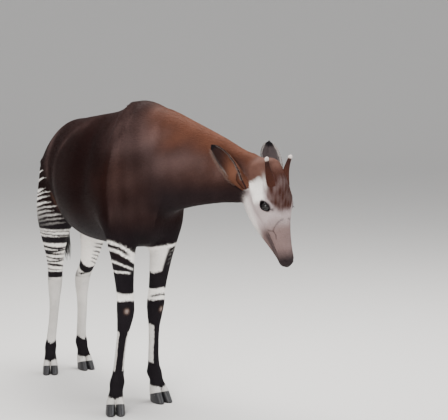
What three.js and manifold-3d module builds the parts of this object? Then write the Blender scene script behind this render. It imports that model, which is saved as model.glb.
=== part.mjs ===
// Okapi, life size, standing with its neck stretched out to its left and its head hung down to browse.
// Millimetres, +Z up, the trunk facing +X and the animal's left side at +Y.
// Every limb is a loft: sections at stations along one straight line, each with its own centre, half widths
// and squareness. Limbs are joined where they meet and parted again by thin plane cuts between named parts.
import * as THREE from "three";
import { mergeVertices } from "three/addons/utils/BufferGeometryUtils.js";
import Module from "manifold-3d";

const wasm = await Module();
wasm.setup();

// Driving dimensions
const WITHERS = 1500; // height at the top of the shoulder
const CROUP = 1368;
const BELLY = 786;
const TRUNK_REAR = -578;
const TRUNK_FRONT = 560;
const LEG_CUT = 775; // where the legs are parted from the trunk
const KNEE_CUT = 500;
const HOCK_CUT = 500;
const GAP = 0.3; // between parts that touch
const EYE_RADIUS = 24;
const EAR_LENGTH = 218;
const EAR_WALL = 6;
const OSSICONE_LENGTH = 112;
const TAIL_END = 860; // height where the tail's tuft begins
const TUFT_END = 590;
const TAIL_ROOT = 1235; // height where the tail leaves the rump

const DEGREE = Math.PI / 180;

// A smooth curve through [at, value] stations, level outside them.
function curve(stations) {
  const at = stations.map((s) => s[0]);
  const value = stations.map((s) => s[1]);
  const last = at.length - 1;
  const slope = at.map((_, i) => {
    const a = Math.max(i - 1, 0);
    const b = Math.min(i + 1, last);
    return (value[b] - value[a]) / (at[b] - at[a]);
  });
  return (t) => {
    const p = Math.min(Math.max(t, at[0]), at[last]);
    let i = 0;
    while (i < last - 1 && p > at[i + 1]) i++;
    const h = at[i + 1] - at[i];
    const u = (p - at[i]) / h;
    const v = 1 - u;
    return (
      v * v * (1 + 2 * u) * value[i] +
      u * u * (1 + 2 * v) * value[i + 1] +
      u * v * h * (v * slope[i] - u * slope[i + 1])
    );
  };
}

const v3 = (x, y, z) => new THREE.Vector3(x, y, z);
const level = (value) => () => value;
const signedPower = (x, power) => Math.sign(x) * Math.abs(x) ** power;
const bell = (x, middle, reach) => Math.exp(-(((x - middle) / reach) ** 2));

// A point of a limb's skin. t is the station, and angle runs from the limb's side over its top.
function skinPoint(limb, t, angle, grow = 0) {
  const power = 2 / limb.square(t);
  const rounded = limb.rounding ? limb.rounding(t) : 1;
  const swell = limb.swell ? 1 + limb.swell(t, angle) : 1;
  const side = signedPower(Math.cos(angle), power) * limb.half(t) * rounded * swell;
  const height = Math.sin(angle) > 0 ? limb.rise(t) : limb.fall(t);
  const up = signedPower(Math.sin(angle), power) * height * rounded * swell;
  const turn = limb.turn ? limb.turn(t) : 0;
  const reach = Math.hypot(side, up) || 1;
  const a = side + (grow * side) / reach;
  const b = up + (grow * up) / reach;
  return limb.foot
    .clone()
    .addScaledVector(limb.along, t)
    .addScaledVector(limb.side, limb.shift(t) + a * Math.cos(turn) - b * Math.sin(turn))
    .addScaledVector(limb.up, limb.lift(t) + a * Math.sin(turn) + b * Math.cos(turn));
}

// Half-ellipse ends: the section shrinks to nothing over `cap` mm at either end of the limb.
function roundEnds(from, to, capFrom, capTo) {
  return (t) => {
    const a = capFrom ? Math.max(0, (from + capFrom - t) / capFrom) : 0;
    const b = capTo ? Math.max(0, (t - to + capTo) / capTo) : 0;
    return Math.sqrt(Math.max(1e-4, 1 - Math.max(a, b) ** 2));
  };
}

// Stations from one end of a limb to the other, closer together in the rounded ends.
function stations(from, to, count, capFrom = 0, capTo = 0) {
  const list = [];
  const capSteps = 4;
  for (let i = 0; i < (capFrom ? capSteps : 0); i++)
    list.push(from + capFrom * (1 - Math.cos((i / capSteps) * (Math.PI / 2))));
  const a = from + capFrom;
  const b = to - capTo;
  for (let i = 0; i <= count; i++) list.push(a + ((b - a) * i) / count);
  for (let i = 1; i <= (capTo ? capSteps : 0); i++)
    list.push(b + capTo * Math.sin((i / capSteps) * (Math.PI / 2)));
  return list;
}

// A closed mesh from rings of points. Each end is a fan round its middle, or for a hollow section (`ladder`)
// a strip between its outer and inner halves.
function closedRings(rings, ladder = false) {
  const around = rings[0].length;
  const points = rings.flat();
  const middle = (ring) => ring.reduce((s, p) => s.add(p), new THREE.Vector3()).divideScalar(ring.length);
  if (!ladder) points.push(middle(rings[0]), middle(rings[rings.length - 1]));
  const first = points.length - 2;
  const index = [];
  for (let i = 0; i < rings.length - 1; i++)
    for (let j = 0; j < around; j++) {
      const a = i * around + j;
      const b = i * around + ((j + 1) % around);
      index.push(a, b, b + around, a, b + around, a + around);
    }
  const end = (rings.length - 1) * around;
  for (let j = 0; j < around && !ladder; j++) {
    const k = (j + 1) % around;
    index.push(first, k, j, first + 1, end + j, end + k);
  }
  for (let j = 0; j < around / 2 - 1 && ladder; j++) {
    const k = around - 1 - j;
    index.push(j, k, j + 1, j + 1, k, k - 1);
    index.push(end + j, end + j + 1, end + k, end + j + 1, end + k - 1, end + k);
  }
  const geometry = new THREE.BufferGeometry();
  geometry.setAttribute(
    "position",
    new THREE.Float32BufferAttribute(points.flatMap((p) => [p.x, p.y, p.z]), 3),
  );
  geometry.setIndex(index);
  return geometry;
}

// A geometry as a solid, turned the right way out if its faces point inwards.
function solid(geometry) {
  const bare = geometry.clone();
  bare.deleteAttribute("normal");
  bare.deleteAttribute("uv");
  const merged = mergeVertices(bare, 1e-4);
  const make = (triVerts) =>
    new wasm.Manifold(
      new wasm.Mesh({
        numProp: 3,
        vertProperties: new Float32Array(merged.attributes.position.array),
        triVerts,
      }),
    );
  const triVerts = new Uint32Array(merged.index.array);
  const made = make(triVerts);
  return made.volume() > 0 ? made : make(triVerts.slice().reverse());
}

function loft(limb, grow = 0) {
  const rings = limb.stations.map((t) =>
    Array.from({ length: limb.around }, (_, j) =>
      skinPoint(limb, t, (2 * Math.PI * j) / limb.around, grow),
    ),
  );
  return solid(closedRings(rings));
}

const join = (...solids) => solids.reduce((a, b) => a.add(b));

// The largest closed piece of a solid.
function largest(body) {
  return body.decompose().reduce((a, b) => (b.volume() > a.volume() ? b : a));
}

// A big block on the far side of a plane, reaching over it by half the gap.
function beyond(point, normal, sign = 1) {
  const size = 4000;
  const direction = normal.clone().normalize().multiplyScalar(sign);
  const box = new THREE.BoxGeometry(size, size, size);
  box.translate(0, 0, size / 2 - GAP / 2);
  box.applyQuaternion(new THREE.Quaternion().setFromUnitVectors(new THREE.Vector3(0, 0, 1), direction));
  box.translate(point.x, point.y, point.z);
  return solid(box);
}

function block(low, high) {
  const size = new THREE.Vector3().subVectors(high, low);
  const box = new THREE.BoxGeometry(size.x, size.y, size.z);
  box.translate((low.x + high.x) / 2, (low.y + high.y) / 2, (low.z + high.z) / 2);
  return solid(box);
}

// Trunk: from the buttocks to the point of the chest. Withers high, back sloping to the croup, deep belly.
const trunkTop = curve([
  [TRUNK_REAR, 1180],
  [-520, 1285],
  [-400, CROUP],
  [-200, 1400],
  [0, 1426],
  [180, 1452],
  [320, 1486],
  [410, WITHERS],
  [470, 1470],
  [TRUNK_FRONT, 1350],
]);
const trunkBottom = curve([
  [TRUNK_REAR, 1010],
  [-480, 905],
  [-330, 835],
  [-150, 794],
  [20, BELLY],
  [200, 792],
  [360, 800],
  [460, 850],
  [TRUNK_FRONT, 980],
]);
const trunkWaist = curve([
  [TRUNK_REAR, 1120],
  [-350, 1110],
  [-50, 1050],
  [250, 1080],
  [TRUNK_FRONT, 1140],
]);
const trunk = {
  foot: v3(0, 0, 0),
  along: v3(1, 0, 0),
  side: v3(0, 1, 0),
  up: v3(0, 0, 1),
  stations: stations(TRUNK_REAR, TRUNK_FRONT, 16, 90, 130),
  rounding: roundEnds(TRUNK_REAR, TRUNK_FRONT, 90, 130),
  around: 28,
  half: curve([
    [TRUNK_REAR, 112],
    [-480, 152],
    [-330, 188],
    [-150, 226],
    [30, 240],
    [200, 226],
    [340, 205],
    [460, 190],
    [TRUNK_FRONT, 165],
  ]),
  shift: level(0),
  lift: trunkWaist,
  rise: (t) => trunkTop(t) - trunkWaist(t),
  fall: (t) => trunkWaist(t) - trunkBottom(t),
  square: curve([
    [-560, 1.7],
    [-400, 1.8],
    [-150, 2],
    [0, 2.1],
    [330, 1.85],
  ]),
  // muscle of the shoulder and the haunch, and the hollow behind the shoulder blade
  swell: (t, angle) => {
    const height = Math.asin(Math.sin(angle));
    return (
      0.1 * bell(t, 350, 105) * bell(height, -0.15, 0.55) +
      0.07 * bell(t, -370, 120) * bell(height, 0, 0.6) -
      0.05 * bell(t, 160, 70) * bell(height, 0.3, 0.6) -
      0.04 * bell(t, -230, 60) * bell(height, -0.2, 0.5)
    );
  },
};

// Neck: deep at its root, lowered and turned to the animal's left.
const NECK_ROOT = v3(330, -20, 1185);
const NECK_TIP = v3(940, 324, 1168);
const neckAlong = NECK_TIP.clone().sub(NECK_ROOT).normalize();
const neckSide = v3(-neckAlong.y, neckAlong.x, 0).normalize();
const neckUp = neckAlong.clone().cross(neckSide);
const NECK_LENGTH = NECK_TIP.distanceTo(NECK_ROOT) + 20;
const neck = {
  foot: NECK_ROOT,
  along: neckAlong,
  side: neckSide,
  up: neckUp,
  stations: stations(0, NECK_LENGTH, 11, 0, 70),
  rounding: roundEnds(0, NECK_LENGTH, 0, 70),
  around: 26,
  half: curve([
    [0, 140],
    [150, 138],
    [300, 112],
    [450, 78],
    [600, 63],
    [NECK_LENGTH, 60],
  ]),
  shift: curve([
    [0, 20],
    [300, -8],
    [NECK_LENGTH, 0],
  ]),
  lift: level(0),
  rise: curve([
    [0, 300],
    [100, 300],
    [200, 290],
    [340, 240],
    [490, 180],
    [620, 120],
    [NECK_LENGTH, 98],
  ]),
  fall: curve([
    [0, 250],
    [200, 205],
    [340, 162],
    [490, 132],
    [620, 120],
    [NECK_LENGTH, 105],
  ]),
  square: level(2.1),
};

// Head: hung down, its long axis running from the poll to the lips.
const HEAD_YAW = 12.5 * DEGREE;
const HEAD_PITCH = 72 * DEGREE;
const HEAD_ROOT = v3(950, 326, 1238);
const headForward = v3(Math.cos(HEAD_YAW), Math.sin(HEAD_YAW), 0);
const headAlong = headForward.clone().multiplyScalar(Math.cos(HEAD_PITCH));
headAlong.z = -Math.sin(HEAD_PITCH);
const headUp = headForward.clone().multiplyScalar(Math.sin(HEAD_PITCH));
headUp.z = Math.cos(HEAD_PITCH);
const headSide = headUp.clone().cross(headAlong);
const headPoint = (along, side, up) =>
  HEAD_ROOT.clone()
    .addScaledVector(headAlong, along)
    .addScaledVector(headSide, side)
    .addScaledVector(headUp, up);
const headFrame = { foot: HEAD_ROOT, along: headAlong, side: headSide, up: headUp, shift: level(0) };

const face = {
  ...headFrame,
  stations: stations(-24, 488, 18, 42, 24),
  rounding: roundEnds(-24, 488, 42, 24),
  around: 26,
  lift: level(0),
  half: curve([
    [-24, 62],
    [40, 72],
    [110, 80],
    [170, 86],
    [215, 84],
    [270, 64],
    [330, 47],
    [400, 38],
    [455, 34],
    [488, 25],
  ]),
  rise: curve([
    [-24, 60],
    [40, 78],
    [100, 92],
    [200, 78],
    [300, 58],
    [380, 46],
    [440, 40],
    [488, 31],
  ]),
  fall: curve([
    [-24, 70],
    [60, 90],
    [200, 80],
    [300, 50],
    [380, 34],
    [450, 26],
    [488, 22],
  ]),
  square: curve([
    [0, 2.2],
    [180, 2.5],
    [300, 2.3],
    [488, 2.4],
  ]),
  // brow over each eye, hollow of the temple, and the pads round the nostrils
  swell: (t, angle) => {
    const height = Math.asin(Math.sin(angle));
    return (
      0.06 * bell(t, 180, 30) * bell(height, 0.55, 0.3) -
      0.06 * bell(t, 105, 35) * bell(height, 0.1, 0.35) -
      0.05 * bell(t, 300, 50) * bell(height, 0.2, 0.35) +
      0.06 * bell(t, 455, 22) * bell(height, 0.6, 0.4)
    );
  },
};
const JAW_END = 462;
const jaw = {
  ...headFrame,
  stations: stations(30, JAW_END, 10, 55, 22),
  rounding: roundEnds(30, JAW_END, 55, 22),
  around: 18,
  lift: curve([
    [30, -50],
    [250, -45],
    [JAW_END, -16],
  ]),
  half: curve([
    [30, 50],
    [110, 60],
    [180, 58],
    [250, 47],
    [320, 36],
    [400, 27],
    [JAW_END, 20],
  ]),
  rise: level(20),
  fall: curve([
    [30, 95],
    [100, 118],
    [160, 124],
    [240, 108],
    [314, 80],
    [370, 54],
    [420, 32],
    [JAW_END, 18],
  ]),
  square: level(2.3),
};

// Legs. `across` and `forward` give the centre of the limb at each height; both sides share their sizes.
const foreSizes = {
  stations: [
    72, 88, 106, 124, 142, 160, 190, 240, 320, 390, 440, 475, 510, 545, 590, 650, 720, 790, 870, 950,
    1040, 1140,
  ],
  half: curve([
    [72, 14],
    [88, 28],
    [106, 32],
    [145, 37],
    [185, 30],
    [250, 26],
    [380, 27],
    [450, 37],
    [510, 43],
    [570, 42],
    [640, 45],
    [740, 54],
    [830, 66],
    [930, 76],
    [1040, 66],
    [1140, 40],
  ]),
  rise: curve([
    [72, 14],
    [88, 27],
    [106, 30],
    [145, 34],
    [190, 27],
    [380, 27],
    [450, 36],
    [510, 43],
    [570, 37],
    [640, 42],
    [740, 56],
    [830, 78],
    [930, 96],
    [1040, 84],
    [1140, 50],
  ]),
  fall: curve([
    [72, 14],
    [88, 29],
    [106, 34],
    [145, 44],
    [195, 32],
    [380, 30],
    [450, 36],
    [510, 43],
    [570, 41],
    [640, 50],
    [740, 64],
    [830, 84],
    [930, 112],
    [1040, 100],
    [1140, 60],
  ]),
};
const hindSizes = {
  stations: [
    66, 82, 102, 122, 142, 160, 190, 240, 320, 390, 440, 475, 505, 535, 570, 610, 660, 720, 790, 870,
    950, 1040, 1140,
  ],
  half: curve([
    [66, 12],
    [82, 24],
    [102, 28],
    [145, 32],
    [185, 27],
    [280, 25],
    [400, 29],
    [460, 36],
    [520, 39],
    [580, 40],
    [680, 50],
    [780, 68],
    [900, 82],
    [1020, 80],
    [1140, 50],
  ]),
  rise: curve([
    [66, 12],
    [82, 24],
    [102, 28],
    [145, 32],
    [190, 27],
    [300, 28],
    [400, 32],
    [460, 38],
    [520, 41],
    [580, 47],
    [680, 74],
    [780, 116],
    [900, 146],
    [1020, 140],
    [1140, 90],
  ]),
  fall: curve([
    [66, 12],
    [82, 26],
    [102, 31],
    [145, 40],
    [190, 30],
    [300, 30],
    [400, 35],
    [460, 44],
    [525, 56],
    [580, 50],
    [680, 64],
    [780, 92],
    [900, 130],
    [1020, 125],
    [1140, 90],
  ]),
};
const legs = {
  front_right: {
    hoof: v3(404, -172, 0),
    toe: -24 * DEGREE,
    scale: 1,
    sizes: foreSizes,
    across: [
      [60, -168],
      [150, -143],
      [340, -134],
      [500, -120],
      [780, -124],
      [950, -128],
      [1140, -105],
    ],
    forward: [
      [60, 392],
      [150, 368],
      [340, 396],
      [500, 418],
      [650, 410],
      [780, 400],
      [950, 385],
      [1140, 350],
    ],
  },
  front_left: {
    hoof: v3(306, 130, 0),
    toe: 4 * DEGREE,
    scale: 1,
    sizes: foreSizes,
    across: [
      [60, 128],
      [150, 112],
      [300, 92],
      [500, 90],
      [780, 114],
      [950, 128],
      [1140, 105],
    ],
    forward: [
      [60, 298],
      [150, 274],
      [300, 306],
      [500, 330],
      [780, 358],
      [950, 370],
      [1140, 350],
    ],
  },
  hind_right: {
    hoof: v3(-517, -103, 0),
    toe: -25 * DEGREE,
    scale: 0.88,
    sizes: hindSizes,
    across: [
      [60, -100],
      [150, -84],
      [340, -70],
      [500, -66],
      [610, -90],
      [720, -108],
      [850, -118],
      [1140, -105],
    ],
    forward: [
      [60, -528],
      [150, -551],
      [340, -532],
      [500, -522],
      [610, -462],
      [720, -430],
      [850, -405],
      [1140, -390],
    ],
  },
  hind_left: {
    hoof: v3(-518, 108, 0),
    toe: 0,
    scale: 0.88,
    sizes: hindSizes,
    across: [
      [60, 107],
      [150, 100],
      [340, 104],
      [500, 106],
      [610, 108],
      [720, 112],
      [850, 118],
      [1140, 105],
    ],
    forward: [
      [60, -526],
      [150, -552],
      [340, -546],
      [500, -540],
      [610, -468],
      [720, -432],
      [850, -405],
      [1140, -390],
    ],
  },
};

function legLimb(leg) {
  return {
    foot: v3(0, 0, 0),
    along: v3(0, 0, 1),
    side: v3(0, 1, 0),
    up: v3(1, 0, 0),
    around: 16,
    shift: curve(leg.across),
    lift: curve(leg.forward),
    turn: curve([
      [320, -leg.toe],
      [850, 0],
    ]),
    square: level(2.15),
    ...leg.sizes,
  };
}

// Toes and claws stand in the foot's own frame: `up` runs towards the toe. Higher up they lean over to
// where the leg comes down.
function toeLimb(leg, side, sizes) {
  const k = leg.scale;
  const ahead = v3(Math.cos(leg.toe), Math.sin(leg.toe), 0);
  const aside = v3(-Math.sin(leg.toe), Math.cos(leg.toe), 0);
  const joint = 132;
  const off = v3(curve(leg.forward)(joint), curve(leg.across)(joint), 0)
    .sub(leg.hoof)
    .addScaledVector(ahead, -k * sizes.lean(joint));
  const reach = (t) => Math.min(1, Math.max(0, (t - 45) / (joint - 45))) ** 1.5;
  return {
    foot: leg.hoof,
    along: v3(0, 0, 1),
    side: aside,
    up: ahead,
    around: 12,
    square: level(2.4),
    stations: sizes.stations,
    shift: (t) => side * k * sizes.apart(t) + reach(t) * off.dot(aside),
    lift: (t) => k * sizes.lean(t) + reach(t) * off.dot(ahead),
    half: (t) => k * sizes.half(t),
    rise: (t) => k * sizes.rise(t),
    fall: (t) => k * sizes.fall(t),
  };
}
const toeSizes = {
  stations: [20, 50, 76, 104, 132],
  apart: curve([
    [20, 23.5],
    [60, 21.5],
    [132, 9],
  ]),
  lean: curve([
    [0, 2],
    [60, -16],
    [132, -36],
  ]),
  half: curve([
    [20, 23],
    [60, 21.5],
    [95, 19],
    [132, 16],
  ]),
  rise: curve([
    [20, 48],
    [60, 36],
    [95, 28],
    [132, 22],
  ]),
  fall: curve([
    [20, 50],
    [60, 44],
    [95, 36],
    [132, 26],
  ]),
};
const clawSizes = {
  stations: [0, 5, 36, 75],
  apart: curve([
    [0, 24.5],
    [60, 21.9],
  ]),
  lean: curve([
    [0, 3],
    [60, -15],
    [132, -36],
  ]),
  half: curve([
    [0, 23],
    [5, 23.8],
    [60, 21.4],
  ]),
  rise: curve([
    [0, 55],
    [5, 56],
    [60, 36],
    [75, 33],
  ]),
  fall: curve([
    [0, 48],
    [5, 50],
    [60, 45],
  ]),
};

const ears = {
  ear_right: { root: headPoint(60, -78, -76), tip: v3(-65, -118, 152), open: v3(0.42, -0.79, -0.43), droop: 8 },
  ear_left: { root: headPoint(58, 86, -42), tip: v3(-132, 61, 132), open: v3(0.9, -0.2, 0.45), droop: 24 },
};

// Ear: a leaf rolled into a funnel. Its section is an arc that opens out from a tube at the root to a
// shallow blade at the tip; a second arc inside the first makes the hollow.
function earBody({ root, tip, open, droop }) {
  const along = tip.clone().normalize();
  const out = open.clone().addScaledVector(along, -open.dot(along)).normalize();
  const across = along.clone().cross(out);
  const half = curve([
    [0, 24],
    [0.14, 32],
    [0.34, 45],
    [0.55, 50],
    [0.75, 46],
    [0.9, 33],
    [1, 14],
  ]);
  const wrap = curve([
    [0, 150],
    [0.2, 118],
    [0.5, 78],
    [1, 46],
  ]);
  const bend = (u) => droop * Math.sin(Math.PI * u);
  const steps = 11;
  const arc = 10;
  const rings = [];
  for (let i = 0; i <= steps; i++) {
    const u = (i / steps) ** 0.9;
    const span = wrap(u) * DEGREE;
    const radius = half(u) / Math.sin(Math.min(span, Math.PI / 2));
    const wall = EAR_WALL * (1 - 0.55 * u);
    const middle = root
      .clone()
      .addScaledVector(along, -30 + (EAR_LENGTH + 30) * u)
      .addScaledVector(out, radius * 0.75 - bend(u));
    const onArc = (r, j) => {
      const a = span * ((2 * j) / arc - 1);
      return middle.clone().addScaledVector(across, r * Math.sin(a)).addScaledVector(out, -r * Math.cos(a));
    };
    const outer = Array.from({ length: arc + 1 }, (_, j) => onArc(radius, j));
    const inner = Array.from({ length: arc + 1 }, (_, j) => onArc(radius - wall, arc - j));
    rings.push([...outer, ...inner]);
  }
  return solid(closedRings(rings, true));
}

function ball(centre, radius, across = 16, down = 10) {
  const sphere = new THREE.SphereGeometry(radius, across, down);
  sphere.translate(centre.x, centre.y, centre.z);
  return solid(sphere);
}

// A round tube along points, its radius given for each.
function tube(points, radii, around = 7) {
  const rings = points.map((p, i) => {
    const a = points[Math.max(i - 1, 0)];
    const b = points[Math.min(i + 1, points.length - 1)];
    const along = b.clone().sub(a).normalize();
    const side = along.clone().cross(v3(0.31, -0.2, 0.93)).normalize();
    const up = along.clone().cross(side);
    return Array.from({ length: around }, (_, j) => {
      const angle = (2 * Math.PI * j) / around;
      return p
        .clone()
        .addScaledVector(side, radii[i] * Math.cos(angle))
        .addScaledVector(up, radii[i] * Math.sin(angle));
    });
  });
  return solid(closedRings(rings));
}

// Lids: two thick folds of skin that run over the ball of the eye from its inner to its outer corner.
const eyeCentre = (side) => headPoint(202, side * 69, 24);
function lids(side) {
  const centre = eyeCentre(side);
  const out = headSide.clone().multiplyScalar(side).addScaledVector(headUp, 0.25).normalize();
  const slant = headAlong.clone().multiplyScalar(0.76).addScaledVector(headUp, 0.65);
  const length = slant.addScaledVector(out, -slant.dot(out)).normalize();
  const over = out.clone().cross(length).multiplyScalar(side);
  const fold = (height, thick) => {
    const points = [];
    const radii = [];
    for (let i = 0; i <= 12; i++) {
      const a = Math.PI * (i / 12);
      const x = -24 * Math.cos(a);
      const y = height * Math.sin(a);
      const z = Math.sqrt(Math.max(0, (EYE_RADIUS + 1) ** 2 - x * x * 0.86 - y * y));
      points.push(centre.clone().addScaledVector(length, x).addScaledVector(over, y).addScaledVector(out, z));
      radii.push(thick * (0.5 + 0.5 * Math.sin(a)));
    }
    return tube(points, radii);
  };
  return fold(16, 6).add(fold(-13, 5));
}

// Everything of flesh in one body
const coronet = (leg) => ({
  point: v3(leg.hoof.x, leg.hoof.y, 48 * leg.scale),
  normal: v3(-0.3 * Math.cos(leg.toe), -0.3 * Math.sin(leg.toe), 0.95),
});
const legBodies = Object.values(legs).map((leg) => {
  const { point, normal } = coronet(leg);
  const toes = join(loft(toeLimb(leg, 1, toeSizes)), loft(toeLimb(leg, -1, toeSizes)));
  return loft(legLimb(leg)).add(toes.subtract(beyond(point, normal, -1)));
});
const eyes = { eye_right: ball(eyeCentre(-1), EYE_RADIUS), eye_left: ball(eyeCentre(1), EYE_RADIUS) };
const headBody = join(loft(face), loft(jaw), lids(1), lids(-1));
const flesh = join(loft(trunk), loft(neck), headBody, ...legBodies);

// Line of the mouth: a thin sheet from the corners of the mouth to the front of the lips, cut a little way
// in.
const MOUTH_DEPTH = 7;
const mouthSheet = (() => {
  const edges = [
    [322, -31, 0.8],
    [380, -19, 1.6],
    [440, -11, 2],
    [510, -6, 2.4],
  ];
  const rings = edges.map(([along, up, open]) => [
    headPoint(along, -70, up - open),
    headPoint(along, 70, up - open),
    headPoint(along, 70, up + open),
    headPoint(along, -70, up + open),
  ]);
  return solid(closedRings(rings));
})();
const groove = mouthSheet.subtract(join(loft(face, -MOUTH_DEPTH), loft(jaw, -MOUTH_DEPTH)));

// Nostrils: slanting pits on either side of the muzzle's end.
const nostril = (side) =>
  tube(
    [headPoint(478, side * 14, 37), headPoint(464, side * 22, 29), headPoint(450, side * 29, 17)],
    [4, 7, 4],
  );
const socket = (side) => ball(eyeCentre(side), EYE_RADIUS + GAP);
const carved = flesh
  .subtract(groove)
  .subtract(nostril(1))
  .subtract(nostril(-1))
  .subtract(socket(1))
  .subtract(socket(-1));

// Cuts between the named parts
const neckCut = { point: NECK_ROOT.clone().addScaledVector(neckAlong, 252), normal: neckAlong };
const headNormal = headAlong.clone().multiplyScalar(0.46).addScaledVector(headUp, 0.89);
const headCut = { point: headPoint(60, 0, -122), normal: headNormal };
const above = (body, cut) => body.subtract(beyond(cut.point, cut.normal, -1));
const below = (body, cut) => body.subtract(beyond(cut.point, cut.normal, 1));
const levelCut = (z) => ({ point: v3(0, 0, z), normal: v3(0, 0, 1) });

const front = above(carved, neckCut);
const head = above(front, headCut);
const neckBody = below(front, headCut);
const rear = below(carved, neckCut);
const torso = above(rear, levelCut(LEG_CUT));
const limbs = below(rear, levelCut(LEG_CUT));

// One leg out of the four: the part of the limbs within a block round it.
function oneLeg(leg) {
  const x = leg.hoof.x > 0 ? [150, 700] : [-800, -200];
  const y = leg.hoof.y > 0 ? [0, 400] : [-400, 0];
  return limbs.intersect(block(v3(x[0], y[0], -10), v3(x[1], y[1], 900)));
}

// Ossicone: a short horn covered with skin, leaning back, bare at its tip.
function ossicone(side) {
  const root = headPoint(90, side * 46, 62);
  const tip = headPoint(0, side * 76, 96);
  const along = tip.clone().sub(root).normalize();
  const across = along.clone().cross(headSide).normalize();
  return loft({
    foot: root,
    along,
    side: along.clone().cross(across),
    up: across,
    stations: stations(0, OSSICONE_LENGTH, 4, 0, 12),
    rounding: roundEnds(0, OSSICONE_LENGTH, 0, 12),
    around: 10,
    shift: level(0),
    lift: curve([
      [0, 0],
      [60, 3],
      [OSSICONE_LENGTH, -3],
    ]),
    half: curve([
      [0, 24],
      [45, 15],
      [88, 9.5],
      [OSSICONE_LENGTH, 10],
    ]),
    rise: curve([
      [0, 26],
      [45, 16],
      [88, 10],
      [OSSICONE_LENGTH, 10.5],
    ]),
    fall: curve([
      [0, 26],
      [45, 16],
      [88, 10],
      [OSSICONE_LENGTH, 10.5],
    ]),
    square: level(2),
  });
}

// Tail: hangs from the rump and swings a little to the left; its tuft is a bundle of tapered locks.
const tailX = curve([
  [TUFT_END, -628],
  [760, -640],
  [TAIL_END, -645],
  [1100, -644],
  [1185, -612],
  [TAIL_ROOT, -540],
]);
const tailY = curve([
  [TUFT_END, 60],
  [TAIL_END, 34],
  [1100, 8],
  [TAIL_ROOT, 0],
]);
const tailHalf = curve([
  [TAIL_END, 13],
  [1000, 14],
  [1150, 20],
  [TAIL_ROOT, 30],
]);
const tailLimb = {
  foot: v3(0, 0, 0),
  along: v3(0, 0, 1),
  side: v3(0, 1, 0),
  up: v3(1, 0, 0),
  stations: [TAIL_END, 930, 1010, 1080, 1130, 1165, 1190, 1212, TAIL_ROOT],
  around: 10,
  shift: tailY,
  lift: tailX,
  half: tailHalf,
  rise: tailHalf,
  fall: tailHalf,
  square: level(2),
};

function tuftBody() {
  const count = 13;
  const locks = [];
  const core = Array.from({ length: 7 }, (_, i) => {
    const z = TAIL_END - GAP - (i * (TAIL_END - TUFT_END - 40)) / 6;
    return v3(tailX(z), tailY(z), z);
  });
  locks.push(tube(core, [13, 19, 22, 20, 16, 11, 4], 9));
  for (let k = 0; k < count; k++) {
    const angle = k * 2.4;
    const start = 14 + ((k * 37) % 60);
    const length = 120 + ((k * 53) % 70);
    const points = [];
    const radii = [];
    for (let i = 0; i <= 5; i++) {
      const u = i / 5;
      const z = Math.max(TAIL_END - start - length * u * 1.15, TUFT_END);
      const wave = 4 * Math.sin(5 * u + k);
      const bulge = Math.sin(Math.PI * Math.min(1, 0.18 + u * 0.82));
      const reach = 9 + 15 * bulge + (k % 3) * 2 * u + wave * 0.5;
      const turned = angle + 0.3 * u;
      points.push(v3(tailX(z) + reach * Math.cos(turned), tailY(z) + reach * Math.sin(turned), z));
      radii.push(7.5 * (1 - u) ** 0.6 + 1);
    }
    locks.push(tube(points, radii, 5));
  }
  return join(...locks).subtract(beyond(v3(0, 0, TAIL_END), v3(0, 0, 1)));
}

// Colours of the animal
const plain = (color, roughness) => new THREE.MeshStandardMaterial({ color, roughness, metalness: 0 });
const chocolate = plain(0x34201e, 0.55);
const russet = plain(0x5a3328, 0.6);
const pale = plain(0xa3938f, 0.7);
const shank = plain(0xcfc5ba, 0.7);
const horn = plain(0x45444a, 0.45);
const bone = plain(0x8a776c, 0.6);
const wet = plain(0x0d0b0c, 0.12);
const black = plain(0x1b1514, 0.6);

const group = new THREE.Group();
function addMesh(name, body, material) {
  const m = largest(body).getMesh();
  const geometry = new THREE.BufferGeometry();
  geometry.setAttribute("position", new THREE.BufferAttribute(new Float32Array(m.vertProperties), 3));
  geometry.setIndex(new THREE.BufferAttribute(new Uint32Array(m.triVerts), 1));
  const mesh = new THREE.Mesh(geometry, material);
  mesh.name = name;
  group.add(mesh);
}

addMesh("torso", torso, chocolate);
addMesh("neck", neckBody, russet);
addMesh("head", head, pale);
const grownHead = join(loft(face, GAP), loft(jaw, GAP));
const grownNeck = loft(neck, GAP);
for (const [name, spec] of Object.entries(ears))
  addMesh(name, earBody(spec).subtract(grownHead).subtract(grownNeck), russet);
addMesh("ossicone_right", ossicone(-1).subtract(grownHead), bone);
addMesh("ossicone_left", ossicone(1).subtract(grownHead), bone);
for (const [name, body] of Object.entries(eyes)) addMesh(name, body, wet);
addMesh("tail", loft(tailLimb).subtract(loft(trunk, GAP)), chocolate);
addMesh("tail_tuft", tuftBody(), black);
for (const [name, leg] of Object.entries(legs)) {
  const cut = levelCut(leg.hoof.x > 0 ? KNEE_CUT : HOCK_CUT);
  const whole = oneLeg(leg);
  addMesh(`leg_${name}_upper`, above(whole, cut), chocolate);
  addMesh(`leg_${name}_lower`, below(whole, cut), shank);
  const { point, normal } = coronet(leg);
  for (const [claw, side] of [["left", 1], ["right", -1]])
    addMesh(`claw_${name}_${claw}`, below(loft(toeLimb(leg, side, clawSizes)), { point, normal }), horn);
}

// The origin goes to the middle of the bottom of the whole animal.
const bounds = new THREE.Box3().setFromObject(group);
const centre = bounds.getCenter(new THREE.Vector3());
for (const mesh of group.children) mesh.geometry.translate(-centre.x, -centre.y, -bounds.min.z);

export default group;
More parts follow.
